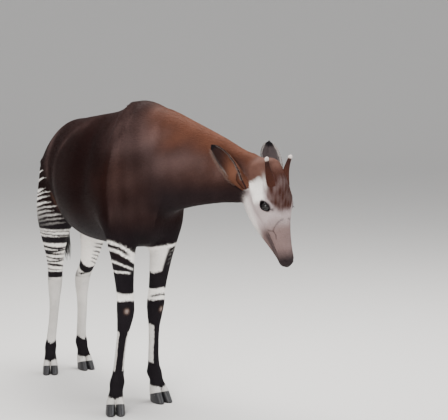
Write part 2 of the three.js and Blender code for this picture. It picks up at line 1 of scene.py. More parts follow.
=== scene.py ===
import bpy
import numpy as np
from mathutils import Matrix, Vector


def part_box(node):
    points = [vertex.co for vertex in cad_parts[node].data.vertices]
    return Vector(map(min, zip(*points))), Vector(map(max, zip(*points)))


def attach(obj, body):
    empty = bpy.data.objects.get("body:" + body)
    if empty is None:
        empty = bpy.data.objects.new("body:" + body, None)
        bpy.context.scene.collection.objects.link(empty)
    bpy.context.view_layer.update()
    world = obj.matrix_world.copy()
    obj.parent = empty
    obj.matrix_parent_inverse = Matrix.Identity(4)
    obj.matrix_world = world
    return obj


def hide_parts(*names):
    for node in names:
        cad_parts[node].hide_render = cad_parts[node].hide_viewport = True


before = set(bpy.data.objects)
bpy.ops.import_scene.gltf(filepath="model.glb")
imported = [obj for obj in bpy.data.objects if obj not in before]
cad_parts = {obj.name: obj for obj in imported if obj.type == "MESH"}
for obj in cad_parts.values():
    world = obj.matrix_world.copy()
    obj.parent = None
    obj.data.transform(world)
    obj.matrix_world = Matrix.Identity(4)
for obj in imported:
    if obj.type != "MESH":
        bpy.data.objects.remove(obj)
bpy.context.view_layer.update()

# Setting: a pale studio floor that sweeps up into a wall behind the animal, one big soft light overhead,
# two weaker ones in front and a pale sky. The camera stands ahead of the right shoulder with a long lens.
FLOOR_SIDE, FLOOR_FRONT = 45.0, -40.0
SWEEP_START, SWEEP_RADIUS, WALL_TOP = 12.0, 9.0, 26.0
BEHIND, ALONG_WALL = np.array((-0.857, 0.514, 0)), np.array((0.514, 0.857, 0))


def paint(name, colour, roughness, **more):
    """A plain material, with its values set on the Principled sockets."""
    made = bpy.data.materials.new(name)
    made.use_nodes = True
    shader = made.node_tree.nodes["Principled BSDF"]
    shader.inputs["Base Color"].default_value = (*colour, 1)
    shader.inputs["Roughness"].default_value = roughness
    for socket, value in more.items():
        shader.inputs[socket.replace("_", " ")].default_value = value
    return made


def put(name, points, faces, material):
    """A smooth mesh object from corner places in metres and faces."""
    mesh = bpy.data.meshes.new(name)
    mesh.from_pydata(points, [], faces)
    mesh.update()
    mesh.polygons.foreach_set("use_smooth", np.ones(len(mesh.polygons), bool))
    mesh.materials.append(material)
    made = bpy.data.objects.new(name, mesh)
    bpy.context.scene.collection.objects.link(made)
    return made


def sweep(steps=32):
    """The floor's profile, as (distance back, height): level, then a quarter circle, then straight up. It
    is carried sideways along the wall."""
    turn = np.linspace(0, np.pi / 2, steps)
    bend = SWEEP_START + SWEEP_RADIUS * np.sin(turn)
    back = np.concatenate([[FLOOR_FRONT], bend, bend[-1:]])
    high = np.concatenate([[0], SWEEP_RADIUS * (1 - np.cos(turn)), [WALL_TOP]])
    line = back[:, None] * BEHIND + high[:, None] * (0, 0, 1)
    count = len(line)
    points = np.concatenate([line - ALONG_WALL * FLOOR_SIDE, line + ALONG_WALL * FLOOR_SIDE])
    return points.tolist(), [(i, i + count, i + count + 1, i + 1) for i in range(count - 1)]


floor = put("floor", *sweep(), paint("pale_floor", (0.74, 0.72, 0.70), 0.9))

sky = bpy.data.worlds.new("sky")
bpy.context.scene.world = sky
sky.use_nodes = True
sky.node_tree.nodes["Background"].inputs["Color"].default_value = (0.86, 0.88, 0.90, 1)
sky.node_tree.nodes["Background"].inputs["Strength"].default_value = 0.7


def soft_light(name, place, aim, size, power, colour):
    """A square area light at a place, turned to face a point."""
    data = bpy.data.lights.new(name, "AREA")
    data.size = size
    data.energy = power
    data.color = colour
    made = bpy.data.objects.new(name, data)
    made.location = place
    made.rotation_euler = (Vector(aim) - Vector(place)).to_track_quat("-Z", "Y").to_euler()
    bpy.context.scene.collection.objects.link(made)


soft_light(
    "light_overhead", place=(-0.4, 0.4, 4.8), aim=(0, 0, 0.8), size=3.2, power=430, colour=(1, 0.99, 0.96)
)
soft_light(
    "light_left", place=(3.4, 4.6, 2.8), aim=(0.2, 0.1, 0.9), size=2.6, power=190, colour=(0.96, 0.98, 1)
)
soft_light(
    "light_camera", place=(4.6, -4.6, 3.0), aim=(0.1, 0, 0.7), size=2.6, power=340, colour=(1, 0.98, 0.96)
)


# Skin: one hide without a seam over trunk, neck, head, legs and tail. Each limb is a rounded tube whose
# section changes along it, and the limbs flow into each other where they meet. Measures are in
# millimetres.
def curve(*stations):
    """A smooth line through (place, value) stations: a cubic between each two, whose slope at a station
    is that from the station before it to the one after it, and level outside the first and the last."""
    at, value = np.array(stations, float).T
    before = np.maximum(np.arange(len(at)) - 1, 0)
    after = np.minimum(np.arange(len(at)) + 1, len(at) - 1)
    slope = (value[after] - value[before]) / (at[after] - at[before])

    def read(t):
        t = np.clip(t, at[0], at[-1])
        i = np.clip(np.searchsorted(at, t, side="right") - 1, 0, len(at) - 2)
        h = at[i + 1] - at[i]
        u = (t - at[i]) / h
        v = 1 - u
        hump = u * v * h * (v * slope[i] - u * slope[i + 1])
        return v * v * (1 + 2 * u) * value[i] + u * u * (1 + 2 * v) * value[i + 1] + hump

    return read


def bell(x, middle, reach):
    """1 at the middle and falling off on both sides as e to the minus (distance / reach) squared."""
    return np.exp(-(((x - middle) / reach) ** 2))


def unit(vectors):
    """The vectors at length one: each over its own length."""
    return vectors / np.maximum(np.linalg.norm(vectors, axis=-1, keepdims=True), 1e-9)


SQUARENESS = 2.15  # power of a plain section's superellipse; 2 is an ellipse


def level(t):
    """Zero all along: a limb that follows its straight line."""
    return 0 * t


def limb(foot, along, side, up, start, end, half, rise, fall, **more):
    """A limb's line, section and ends. half is its half width, rise and fall its reach above and below
    its line. shift and lift carry the line sideways and up, turn twists the section and swell makes it
    fuller."""
    made = dict(foot=np.array(foot, float), along=np.array(along, float), side=np.array(side, float))
    made.update(up=np.array(up, float), start=start, end=end, half=half, rise=rise, fall=fall)
    made.update(cap_start=0, cap_end=0, shift=level, lift=level, turn=None, swell=None, flow=40)
    made.update(square=lambda t: np.full(len(t), SQUARENESS))
    made.update(more)
    return made


def beside(body, points):
    """How points lie beside a limb: t along it, a and b across its section, and their distance from its
    skin, which is reach - reach / q. There reach is how far a point is from the limb's line, and q is 1 on
    the skin: the section's superellipse radius, and with it how far the point is into a rounded end."""
    away = points - body["foot"]
    t = away @ body["along"]
    a = away @ body["side"] - body["shift"](t)
    b = away @ body["up"] - body["lift"](t)
    if body["turn"]:
        turn = body["turn"](t)
        a, b = a * np.cos(turn) + b * np.sin(turn), b * np.cos(turn) - a * np.sin(turn)
    power = body["square"](t)
    height = np.where(b > 0, body["rise"](t), body["fall"](t))
    high = (np.abs(b) / height) ** power
    rho = np.maximum((np.abs(a) / body["half"](t)) ** power + high, 1e-9)
    if body["swell"]:
        angle = np.arcsin(np.clip(np.sign(b) * np.sqrt(high / rho), -1, 1))
        rho = rho ** (1 / power) / (1 + body["swell"](t, angle))
    else:
        rho = rho ** (1 / power)
    middle, length = (body["start"] + body["end"]) / 2, (body["end"] - body["start"]) / 2
    depth, cap = np.zeros(len(t)), np.ones(len(t))
    if body["cap_start"]:
        depth = np.maximum(depth, (body["start"] + body["cap_start"] - t) / body["cap_start"])
        cap = np.where(t < middle, body["cap_start"], cap)
    if body["cap_end"]:
        depth = np.maximum(depth, (t - body["end"] + body["cap_end"]) / body["cap_end"])
        cap = np.where(t >= middle, body["cap_end"], cap)
    q = np.maximum(np.sqrt(rho**2 + depth**2), 1e-3)
    reach = np.sqrt(a * a + b * b + (depth * cap) ** 2)
    distance = np.maximum(reach - reach / q, np.abs(t - middle) - length)
    return t, a, b, distance


trunk_top = curve(
    (-578, 1180), (-520, 1285), (-400, 1368), (-200, 1400), (0, 1426), (180, 1452), (320, 1486),
    (410, 1500), (470, 1470), (560, 1350),
)
trunk_bottom = curve(
    (-578, 1010), (-480, 905), (-330, 835), (-150, 794), (20, 786), (200, 792), (360, 800), (460, 850),
    (560, 980),
)
trunk_waist = curve((-578, 1120), (-350, 1110), (-50, 1050), (250, 1080), (560, 1140))


def trunk_muscle(t, angle):
    """Share by which shoulder and haunch stand out, and by which the hollows behind them fall in."""
    return (
        0.10 * bell(t, 350, 105) * bell(angle, -0.15, 0.55)
        + 0.07 * bell(t, -370, 120) * bell(angle, 0, 0.6)
        - 0.05 * bell(t, 160, 70) * bell(angle, 0.3, 0.6)
        - 0.04 * bell(t, -230, 60) * bell(angle, -0.2, 0.5)
        - 0.022 * bell(t, 400, 17) * bell(angle, -0.15, 0.7)
    )


X, Y, Z = np.eye(3)
trunk = limb(
    (0, 0, 0), X, Y, Z, -578, 560,
    curve(
        (-578, 112), (-480, 152), (-330, 188), (-150, 226), (30, 240), (200, 226), (340, 205),
        (460, 190), (560, 165),
    ),
    lambda t: trunk_top(t) - trunk_waist(t),
    lambda t: trunk_waist(t) - trunk_bottom(t),
    cap_start=90, cap_end=130, lift=trunk_waist, swell=trunk_muscle,
    square=curve((-560, 1.7), (-400, 1.8), (-150, 2), (0, 2.1), (330, 1.85)),
)

NECK_ROOT, NECK_TIP, NECK_INTO_HEAD = np.array((330, -20, 1185.0)), np.array((940, 324, 1168.0)), 20
neck_along = unit(NECK_TIP - NECK_ROOT)
neck_side = unit(np.array((-neck_along[1], neck_along[0], 0)))
neck_length = np.linalg.norm(NECK_TIP - NECK_ROOT) + NECK_INTO_HEAD
neck = limb(
    NECK_ROOT, neck_along, neck_side, np.cross(neck_along, neck_side), 0, neck_length,
    curve((0, 140), (150, 138), (300, 112), (450, 78), (600, 63), (neck_length, 60)),
    curve((0, 300), (100, 300), (200, 290), (340, 240), (490, 180), (620, 120), (neck_length, 98)),
    curve((0, 250), (200, 205), (340, 162), (490, 132), (620, 120), (neck_length, 105)),
    cap_end=70, shift=curve((0, 20), (300, -8), (neck_length, 0)), flow=70,
)

HEAD_YAW, HEAD_PITCH = np.radians((12.5, 72.0))
HEAD_ROOT = np.array((950, 326, 1238.0))
head_ahead = np.array((np.cos(HEAD_YAW), np.sin(HEAD_YAW), 0))
head_along = head_ahead * np.cos(HEAD_PITCH) - Z * np.sin(HEAD_PITCH)
head_up = head_ahead * np.sin(HEAD_PITCH) + Z * np.cos(HEAD_PITCH)
head_side = np.cross(head_up, head_along)
head_axes = np.array((head_along, head_side, head_up))


def head_point(*place):
    """A point of the head from its distance along the head, to its left side and above its line."""
    return HEAD_ROOT + np.array(place, float) @ head_axes


def head_place(points):
    """The reverse: points' distances along the head, to its left side and above its line."""
    return (points - HEAD_ROOT) @ head_axes.T


def face_relief(t, angle):
    """Share by which the brows and the pads of the nostrils stand out and the temples fall in."""
    return (
        0.06 * bell(t, 180, 30) * bell(angle, 0.55, 0.3)
        - 0.06 * bell(t, 105, 35) * bell(angle, 0.1, 0.35)
        - 0.05 * bell(t, 300, 50) * bell(angle, 0.2, 0.35)
        + 0.06 * bell(t, 455, 22) * bell(angle, 0.6, 0.4)
    )


face = limb(
    HEAD_ROOT, head_along, head_side, head_up, -24, 488,
    curve(
        (-24, 62), (40, 72), (110, 80), (170, 86), (215, 84), (270, 64), (330, 47), (400, 38), (455, 34),
        (488, 25),
    ),
    curve((-24, 60), (40, 78), (100, 92), (200, 78), (300, 58), (380, 46), (440, 40), (488, 31)),
    curve((-24, 70), (60, 90), (200, 80), (300, 50), (380, 34), (450, 26), (488, 22)),
    cap_start=42, cap_end=24, swell=face_relief, flow=34,
    square=curve((0, 2.2), (180, 2.5), (300, 2.3), (488, 2.4)),
)
jaw = limb(
    HEAD_ROOT, head_along, head_side, head_up, 30, 462,
    curve((30, 50), (110, 60), (180, 58), (250, 47), (320, 36), (400, 27), (462, 20)),
    lambda t: np.full(len(t), 20.0),
    curve((30, 95), (100, 118), (160, 124), (240, 108), (314, 80), (370, 54), (420, 32), (462, 18)),
    cap_start=55, cap_end=22, lift=curve((30, -50), (250, -45), (462, -16)), flow=16,
)

fore_half = curve(
    (72, 14), (88, 28), (106, 32), (145, 37), (185, 30), (250, 26), (380, 27), (450, 37), (510, 43),
    (570, 42), (640, 45), (740, 54), (830, 66), (930, 76), (1040, 66), (1140, 40),
)
fore_rise = curve(
    (72, 14), (88, 27), (106, 30), (145, 34), (190, 27), (380, 27), (450, 36), (510, 43), (570, 37),
    (640, 42), (740, 56), (830, 78), (930, 96), (1040, 84), (1140, 50),
)
fore_fall = curve(
    (72, 14), (88, 29), (106, 34), (145, 44), (195, 32), (380, 30), (450, 36), (510, 43), (570, 41),
    (640, 50), (740, 64), (830, 84), (930, 112), (1040, 100), (1140, 60),
)
hind_half = curve(
    (66, 12), (82, 24), (102, 28), (145, 32), (185, 27), (280, 25), (400, 29), (460, 36), (520, 39),
    (580, 40), (680, 50), (780, 68), (900, 82), (1020, 80), (1140, 50),
)
hind_rise = curve(
    (66, 12), (82, 24), (102, 28), (145, 32), (190, 27), (300, 28), (400, 32), (460, 38), (520, 41),
    (580, 47), (680, 74), (780, 116), (900, 146), (1020, 140), (1140, 90),
)
hind_fall = curve(
    (66, 12), (82, 26), (102, 31), (145, 40), (190, 30), (300, 30), (400, 35), (460, 44), (525, 56),
    (580, 50), (680, 64), (780, 92), (900, 130), (1020, 125), (1140, 90),
)
LEG_HEAD = 1140
LEGS = {
    "front_right": dict(
        hoof=(404, -172, 0), toe=-24, scale=1.0, start=72, sizes=(fore_half, fore_rise, fore_fall),
        across=curve(
            (60, -168), (150, -143), (340, -134), (500, -120), (780, -124), (950, -128), (1140, -105),
        ),
        forward=curve(
            (60, 392), (150, 368), (340, 396), (500, 418), (650, 410), (780, 400), (950, 385),
            (1140, 350),
        ),
    ),
    "front_left": dict(
        hoof=(306, 130, 0), toe=4, scale=1.0, start=72, sizes=(fore_half, fore_rise, fore_fall),
        across=curve((60, 128), (150, 112), (300, 92), (500, 90), (780, 114), (950, 128), (1140, 105)),
        forward=curve((60, 298), (150, 274), (300, 306), (500, 330), (780, 358), (950, 370), (1140, 350)),
    ),
    "hind_right": dict(
        hoof=(-517, -103, 0), toe=-25, scale=0.88, start=66, sizes=(hind_half, hind_rise, hind_fall),
        across=curve(
            (60, -100), (150, -84), (340, -70), (500, -66), (610, -90), (720, -108), (850, -118),
            (1140, -105),
        ),
        forward=curve(
            (60, -528), (150, -551), (340, -532), (500, -522), (610, -462), (720, -430), (850, -405),
            (1140, -390),
        ),
    ),
    "hind_left": dict(
        hoof=(-518, 108, 0), toe=0, scale=0.88, start=66, sizes=(hind_half, hind_rise, hind_fall),
        across=curve(
            (60, 107), (150, 100), (340, 104), (500, 106), (610, 108), (720, 112), (850, 118),
            (1140, 105),
        ),
        forward=curve(
            (60, -526), (150, -552), (340, -546), (500, -540), (610, -468), (720, -432), (850, -405),
            (1140, -390),
        ),
    ),
}
TOE_BEND, TOE_JOINT = 45, 132  # heights where a toe starts to bend, and where it joins the leg


def toe_limb(leg, side, start, end, apart, lean, half, rise, fall, **more):
    """One toe in the foot's own axes. Its centre is apart from the foot's middle and leans back with
    height, and towards the joint it bends over to where the leg comes down."""
    scale, toe = leg["scale"], np.radians(leg["toe"])
    ahead = np.array((np.cos(toe), np.sin(toe), 0))
    aside = np.array((-np.sin(toe), np.cos(toe), 0))
    joint = np.array((leg["forward"](TOE_JOINT), leg["across"](TOE_JOINT), 0)) - np.array(leg["hoof"])
    joint = joint - ahead * scale * lean(TOE_JOINT)

    def bend(t):
        return np.clip((t - TOE_BEND) / (TOE_JOINT - TOE_BEND), 0, 1) ** 1.5

    return limb(
        leg["hoof"], Z, aside, ahead, start, end,
        lambda t: scale * half(t), lambda t: scale * rise(t), lambda t: scale * fall(t),
        shift=lambda t: side * scale * apart(t) + bend(t) * (joint @ aside),
        lift=lambda t: scale * lean(t) + bend(t) * (joint @ ahead),
        **more,
    )


leg_limbs, toe_limbs = {}, {}
for leg_name, leg in LEGS.items():
    half, rise, fall = leg["sizes"]
    leg_limbs[leg_name] = limb(
        (0, 0, 0), Z, Y, X, leg["start"], LEG_HEAD, half, rise, fall, flow=60,
        shift=leg["across"], lift=leg["forward"], turn=curve((320, -np.radians(leg["toe"])), (850, 0)),
    )
    toe_limbs[leg_name] = [
        toe_limb(
            leg, side, 30, TOE_JOINT,
            apart=curve((20, 23.5), (60, 21.5), (132, 9)), lean=curve((0, 2), (60, -16), (132, -36)),
            half=curve((20, 23), (60, 21.5), (95, 19), (132, 16)),
            rise=curve((20, 48), (60, 36), (95, 28), (132, 22)),
            fall=curve((20, 50), (60, 44), (95, 36), (132, 26)), flow=9,
        )
        for side in (1, -1)
    ]

tail_x = curve((590, -628), (760, -640), (860, -645), (1100, -644), (1185, -612), (1235, -540))
tail_y = curve((590, 60), (860, 34), (1100, 8), (1235, 0))
tail_half = curve((850, 11), (900, 13), (1000, 14), (1150, 20), (1235, 30))
tail = limb(
    (0, 0, 0), Z, Y, X, 845, 1235, tail_half, tail_half, tail_half, shift=tail_y, lift=tail_x, flow=26
)

EARS = {
    "ear_right": dict(
        side=-1, root=head_point(60, -78, -76), tip=(-65, -118, 152), open=(0.42, -0.79, -0.43), droop=8
    ),
    "ear_left": dict(
        side=1, root=head_point(58, 86, -42), tip=(-132, 61, 132), open=(0.9, -0.2, 0.45), droop=24
    ),
}
stalk_size = curve((-30, 22), (0, 23), (20, 22), (34, 17))
stalks = []
for ear in EARS.values():
    stalk_along = unit(np.array(ear["tip"], float))
    stalk_across = unit(np.cross(stalk_along, Z))
    stalks.append(limb(
        ear["root"], stalk_along, stalk_across, np.cross(stalk_along, stalk_across), -30, 34,
        stalk_size, stalk_size, stalk_size, cap_end=20, flow=26,
    ))

all_toes = [toe for toes in toe_limbs.values() for toe in toes]
LIMBS = [trunk, neck, *leg_limbs.values(), tail, face, jaw, *all_toes, *stalks]


def blend(a, b, flow):
    """The lesser of two distances, lowered by (flow - difference) squared / (4 flow) where they are
    closer than flow, so that one form flows into the other."""
    near = np.maximum(flow - np.abs(a - b), 0)
    return np.minimum(a, b) - near * near / (4 * flow)


LINE_STATIONS, SWELL_ROOM = 60, 1.25


def limb_box(body):
    """Lowest and highest corner of a limb, from its line and its widest section."""
    t = np.linspace(body["start"], body["end"], LINE_STATIONS)
    line = body["foot"] + t[:, None] * body["along"]
    line = line + body["shift"](t)[:, None] * body["side"] + body["lift"](t)[:, None] * body["up"]
    widest = np.maximum(np.maximum(body["rise"](t), body["fall"](t)), body["half"](t))[:, None] * SWELL_ROOM
    return (line - widest).min(0), (line + widest).max(0)


for body in LIMBS:
    body["box"] = limb_box(body)


def in_box(points, body, margin):
    """Numbers of the points that lie in a limb's box, or outside it by less than a margin."""
    low, high = body["box"]
    return np.flatnonzero(np.all((points > low - margin) & (points < high + margin), axis=1))


EYE_RADIUS = 24
EYE = {side: (202, side * 69, 24) for side in (1, -1)}
eye_out = {side: unit(np.array((0, side, 0.25))) for side in (1, -1)}
slant = np.array((0.76, 0, 0.65))
eye_long = {side: unit(slant - eye_out[side] * (slant @ eye_out[side])) for side in (1, -1)}
eye_over = {side: np.cross(eye_out[side], eye_long[side]) * side for side in (1, -1)}
mouth_height = curve((322, -31), (380, -19), (440, -11), (500, -6))
CHEEK_FOLDS = (
    (((304, -30), (313, -8), (318, 6)), 1.8),
    (((318, 6), (302, 22), (288, 42), (276, 58)), 2.2),
    (((318, 6), (338, 14), (356, 10)), 1.8),
)


def from_line(s, u, ends):
    """Distance of (s, u) from a bent line: the least over its parts, each from the nearest point between
    two ends."""
    nearest = np.full(len(s), 99.0)
    for (s0, u0), (s1, u1) in zip(ends, ends[1:]):
        run = np.array((s1 - s0, u1 - u0), float)
        share = np.clip(((s - s0) * run[0] + (u - u0) * run[1]) / (run @ run), 0, 1)
        nearest = np.minimum(nearest, np.hypot(s - s0 - share * run[0], u - u0 - share * run[1]))
    return nearest


LID_STRETCH, LID_OPENING, UPPER_LID, LOWER_LID = 1.25, 26, 14.5, 11.5


def lid_edge(x, height):
    """Height of a lid's edge at x along the eye: height at the middle, times (1 - (x / opening) squared)
    to the power of 0.8."""
    return height * np.maximum(1 - (x / LID_OPENING) ** 2, 0) ** 0.8


def head_detail(place, distance):
    """The head's folds on top of its limbs: lids raised round each eye and parted by an almond, the
    groove of the mouth between swollen lips, and the slits of the nostrils. place is (along, side, up) in
    the head."""
    s, d, u = place.T
    for side in (1, -1):
        away = place - np.array(EYE[side], float)
        x, y, z = away @ eye_long[side], away @ eye_over[side], away @ eye_out[side]
        lid = np.sqrt((x / LID_STRETCH) ** 2 + y * y + z * z) - (EYE_RADIUS + 3.2)
        distance = blend(distance, lid, 9)
        # opening: an almond 52 long and 26 high, its upper edge higher than its lower one
        edge = lid_edge(x, np.where(y > 0, UPPER_LID, LOWER_LID))
        opening = np.where(z > 0, np.minimum(edge - np.abs(y), LID_OPENING - np.abs(x)), -9)
        distance = np.where(z > 0, np.maximum(distance, np.minimum(opening * 0.8, 7)), distance)
        # fold above the upper lid and under the lower one
        ring = np.sqrt((x / LID_STRETCH) ** 2 + y * y)
        distance = distance + np.where(z > 0, 1.8 * bell(ring, 31, 2.6), 0)
        # slit of the nostril, slanting out and back, with a raised rim
        pit = place - np.array((462, side * 28, 26.0))
        run = pit @ unit(np.array((-0.62, side * 0.38, -0.55)))
        over = pit @ unit(np.array((0.5, side * 0.1, -0.8)))
        wing = bell(run, 0, 15) * bell(over, 0, 5.5) * (d * side > 6)
        distance = distance + 8 * bell(run, 0, 13) * bell(over, 0, 3.6) * (d * side > 6) - 2.5 * wing
    for ends, deep in CHEEK_FOLDS:
        distance = distance + 1.5 * deep * bell(from_line(s, u, ends), 0, 3.0) * (np.abs(d) > 12)
    line = u - mouth_height(s)
    reach = np.clip((s - 300) / 40, 0, 1)
    distance = distance - reach * 2.6 * bell(line, 9, 7) - reach * 2.2 * bell(line, -9, 7)
    return distance + reach * 6.5 * bell(line, 0, 2.6)


COAT_DEPTH = 2.0
FAR, BOX_MARGIN = 80.0, 25
HEAD_MIDDLE, HEAD_REACH = (235, 0, -20), (285, 130, 150)


def field(points):
    """Distance of points from the hide, negative inside: every limb's own distance, blended, with the
    head's folds."""
    distance = np.full(len(points), FAR)
    for body in LIMBS:
        near = in_box(points, body, body["flow"] + BOX_MARGIN)
        distance[near] = blend(distance[near], beside(body, points[near])[3], body["flow"])
    place = head_place(points)
    near = np.flatnonzero(np.all(np.abs(place - HEAD_MIDDLE) < HEAD_REACH, axis=1))
    distance[near] = head_detail(place[near], distance[near])
    return distance + COAT_DEPTH


def slope(points, step=0.7):
    """Gradient of the field by central differences."""
    made = np.empty_like(points)
    for axis in range(3):
        reach = np.zeros(3)
        reach[axis] = step
        made[:, axis] = (field(points + reach) - field(points - reach)) / (2 * step)
    return made


def settle(points, rounds, most=6.0):
    """Moves points onto the hide along the field's slope, by distance over slope each round."""
    for _ in range(rounds):
        away = slope(points)
        size = np.maximum(np.linalg.norm(away, axis=1), 0.25)
        move = np.clip(field(points) / size, -most, most)
        points = points - away / size[:, None] * move[:, None]
    return points


CORNERS = np.array([(i, j, k) for i in (0, 1) for j in (0, 1) for k in (0, 1)])


def at_corner(values, corner):
    """A grid's values at one corner of every cell."""
    (i, j, k), (a, b, c) = corner, values.shape
    return values[i : a - 1 + i, j : b - 1 + j, k : c - 1 + k]


def hide_grid(cell, low, high):
    """A closed quad mesh round the field's inside: one corner in each cell that the surface crosses, at
    the mean of the crossings on its edges, and one quad round each grid edge that crosses."""
    axes = [np.arange(low[k], high[k] + cell, cell) for k in range(3)]
    nodes = np.stack(np.meshgrid(*axes, indexing="ij"), -1)
    shape = nodes.shape[:3]
    values = field(nodes.reshape(-1, 3)).reshape(shape)
    inside = values < 0
    total = sum(at_corner(inside, corner).astype(int) for corner in CORNERS)
    cells = np.argwhere((total > 0) & (total < 8))
    number = np.full(total.shape, -1)
    number[tuple(cells.T)] = np.arange(len(cells))
    at = [at_corner(values, corner)[tuple(cells.T)] for corner in CORNERS]
    sums, count = np.zeros((len(cells), 3)), np.zeros(len(cells))
    for p in range(8):
        for q in range(p + 1, 8):
            if np.abs(CORNERS[p] - CORNERS[q]).sum() == 1:
                cross = (at[p] < 0) != (at[q] < 0)
                share = at[p][cross] / (at[p][cross] - at[q][cross])
                sums[cross] += CORNERS[p] + share[:, None] * (CORNERS[q] - CORNERS[p])
                count[cross] += 1
    points = np.array([a[0] for a in axes]) + (cells + sums / count[:, None]) * cell
    quads = []
    for axis in range(3):
        u, v = np.roll(np.eye(3, dtype=int), -axis - 1, axis=0)[:2]
        edge = np.argwhere(inside != np.roll(inside, -1, axis))
        edge = edge[(edge[:, axis] < shape[axis] - 1) & (edge > 0).all(1)]
        starts_inside = inside[tuple(edge.T)]
        ring = np.stack([number[tuple((edge - back).T)] for back in (0, u, u + v, v)], 1)
        quads.append(np.where(starts_inside[:, None], ring, ring[:, ::-1]))
    return points, np.concatenate(quads)


def split(points, quads, outlines, chosen):
    """Each chosen quad becomes four. A neighbour that keeps its size takes the new middle points into its
    own outline, so no gap opens between fine and coarse."""
    count = len(points)
    ends = np.sort(np.stack([quads, np.roll(quads, -1, 1)], 2), 2)
    key = ends[..., 0] * count + ends[..., 1]
    used = np.unique(key[chosen])
    place = np.minimum(np.searchsorted(used, key), len(used) - 1)
    middle = np.where(used[place] == key, count + place, -1)
    points = np.concatenate([
        points, (points[used // count] + points[used % count]) / 2, points[quads[chosen]].mean(1)
    ])
    centre = count + len(used) + np.arange(chosen.sum())
    corner, after = quads[chosen], middle[chosen]
    fine = [np.stack([corner[:, i], after[:, i], centre, after[:, i - 1]], 1) for i in range(4)]
    kept = ~chosen & (middle < 0).all(1)
    mixed = ~chosen & ~kept
    loops = np.stack([quads[mixed], middle[mixed]], 2).reshape(-1, 8)
    return points, np.concatenate([quads[kept], np.stack(fine, 1).reshape(-1, 4)]), [*outlines, loops]


# the cells are halved over the head and the stripes, once more on the muzzle and twice more by the eyes
CELL, HIDE_LOW, HIDE_HIGH = 12.4, (-700, -300, 22), (1140, 480, 1540)
LIDS_ALONG, LIDS_UP = 203, 28
STRIPES_AHEAD, LEG_STRIPES, HAUNCH_STRIPES = -230, 760, 1130
hide, hide_quads = hide_grid(CELL, HIDE_LOW, HIDE_HIGH)
hide = settle(hide, 3)
middles = hide[hide_quads].mean(1)
s, d, u = head_place(middles).T
on_head = (s > -60) & (np.abs(d) < 140) & (u > -190)
height = middles[:, 2]
striped = (height < LEG_STRIPES) | ((middles[:, 0] < STRIPES_AHEAD) & (height < HAUNCH_STRIPES))
hide, hide_quads, outlines = split(hide, hide_quads, [], on_head | striped)
hide = settle(hide, 2, 3)
for reach, with_muzzle in ((48, True), (38, False)):
    s, d, u = head_place(hide[hide_quads].mean(1)).T
    by_eye = (np.abs(s - LIDS_ALONG) < reach) & (np.abs(u - LIDS_UP) < reach - 4)
    by_eye &= (np.abs(d) > 38) & (np.abs(d) < 120)
    muzzle = with_muzzle & (s > 300) & (s < 520) & (np.abs(d) < 80) & (np.abs(u) < 110)
    hide, hide_quads, outlines = split(hide, hide_quads, outlines, by_eye | muzzle)
    hide = settle(hide, 3, 2)

eye_low, eye_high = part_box("eye_right")
OFFSET = np.array((eye_low + eye_high) / 2) * 1000 - head_point(*EYE[-1])


def metres(points):
    """Places in metres in the row's frame, from places in the animal's own millimetres."""
    return (points + OFFSET) / 1000


def build(name, points, faces, material, slot_name, *nodes, uv=None, attributes=None):
    """A smooth mesh object at the origin from places in millimetres and faces as rows of corners, where
    -1 in a row is no corner. It rides on the one body and stands for the named nodes."""
    mesh = bpy.data.meshes.new(name)
    sizes = np.concatenate([(rows >= 0).sum(1) for rows in faces])
    corners = np.concatenate([rows[rows >= 0] for rows in faces])
    mesh.vertices.add(len(points))
    mesh.loops.add(len(corners))
    mesh.polygons.add(len(sizes))
    mesh.vertices.foreach_set("co", metres(points).astype(np.float32).ravel())
    mesh.loops.foreach_set("vertex_index", corners.astype(np.int32))
    mesh.polygons.foreach_set("loop_start", np.concatenate([[0], np.cumsum(sizes)[:-1]]).astype(np.int32))
    mesh.polygons.foreach_set("use_smooth", np.ones(len(sizes), bool))
    for key, value in (attributes or {}).items():
        made = mesh.attributes.new(key, "FLOAT_COLOR", "POINT")
        made.data.foreach_set("color", value.astype(np.float32).ravel())
    if uv is not None:
        layer = mesh.uv_layers.new(name="OFBake")
        layer.data.foreach_set("uv", uv[corners].astype(np.float32).ravel())
    mesh.update(calc_edges=True)
    mesh.validate()
    mesh.materials.append(material)
    made = bpy.data.objects.new(name, mesh)
    bpy.context.scene.collection.objects.link(made)
    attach(made, "root")
    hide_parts(*nodes)


# Markings: chocolate body, rusty crest and ears, pale grey face, and legs banded in cream and black, with
# painted highlights on the coat and painted shade under the belly and on the face. Each mark is a share
# from 0 to 1 worked out from where a point lies on its limb, and skin and coat carry the same ones.
def ramp(low, high, x):
    """0 at low and 1 at high, easing in and out between them, and level beyond. High may be the
    lesser."""
    share = np.clip((x - low) / (high - low), 0, 1)
    return share * share * (3 - 2 * share)


def within(low, high, x, soft=3.0):
    """1 between low and high, falling to 0 over a soft edge outside them."""
    return ramp(low - soft, low + soft, x) * (1 - ramp(high - soft, high + soft, x))


def ripple(points, size, seed):
    """A smooth wandering value from -1 to 1: the mean of five sines along seeded directions, size mm
    across."""
    draw = np.random.default_rng(seed)
    ways = draw.normal(size=(5, 3)) * 2 / size
    return np.sin(points @ ways.T + draw.uniform(0, 6.3, 5)).mean(1) * 1.6


def leg_place(name, points):
    """Where points lie round a leg: height, fore and out from -1 to 1 across its section, and the angle
    from the leg's front in degrees, positive towards the outer side."""
    z, a, b, _ = beside(leg_limbs[name], points)
    outer = 1 if name.endswith("left") else -1
    fore = b / np.where(b > 0, leg_limbs[name]["rise"](z), leg_limbs[name]["fall"](z))
    out = a / leg_limbs[name]["half"](z) * outer
    return z, fore, out, np.degrees(np.arctan2(out, fore))


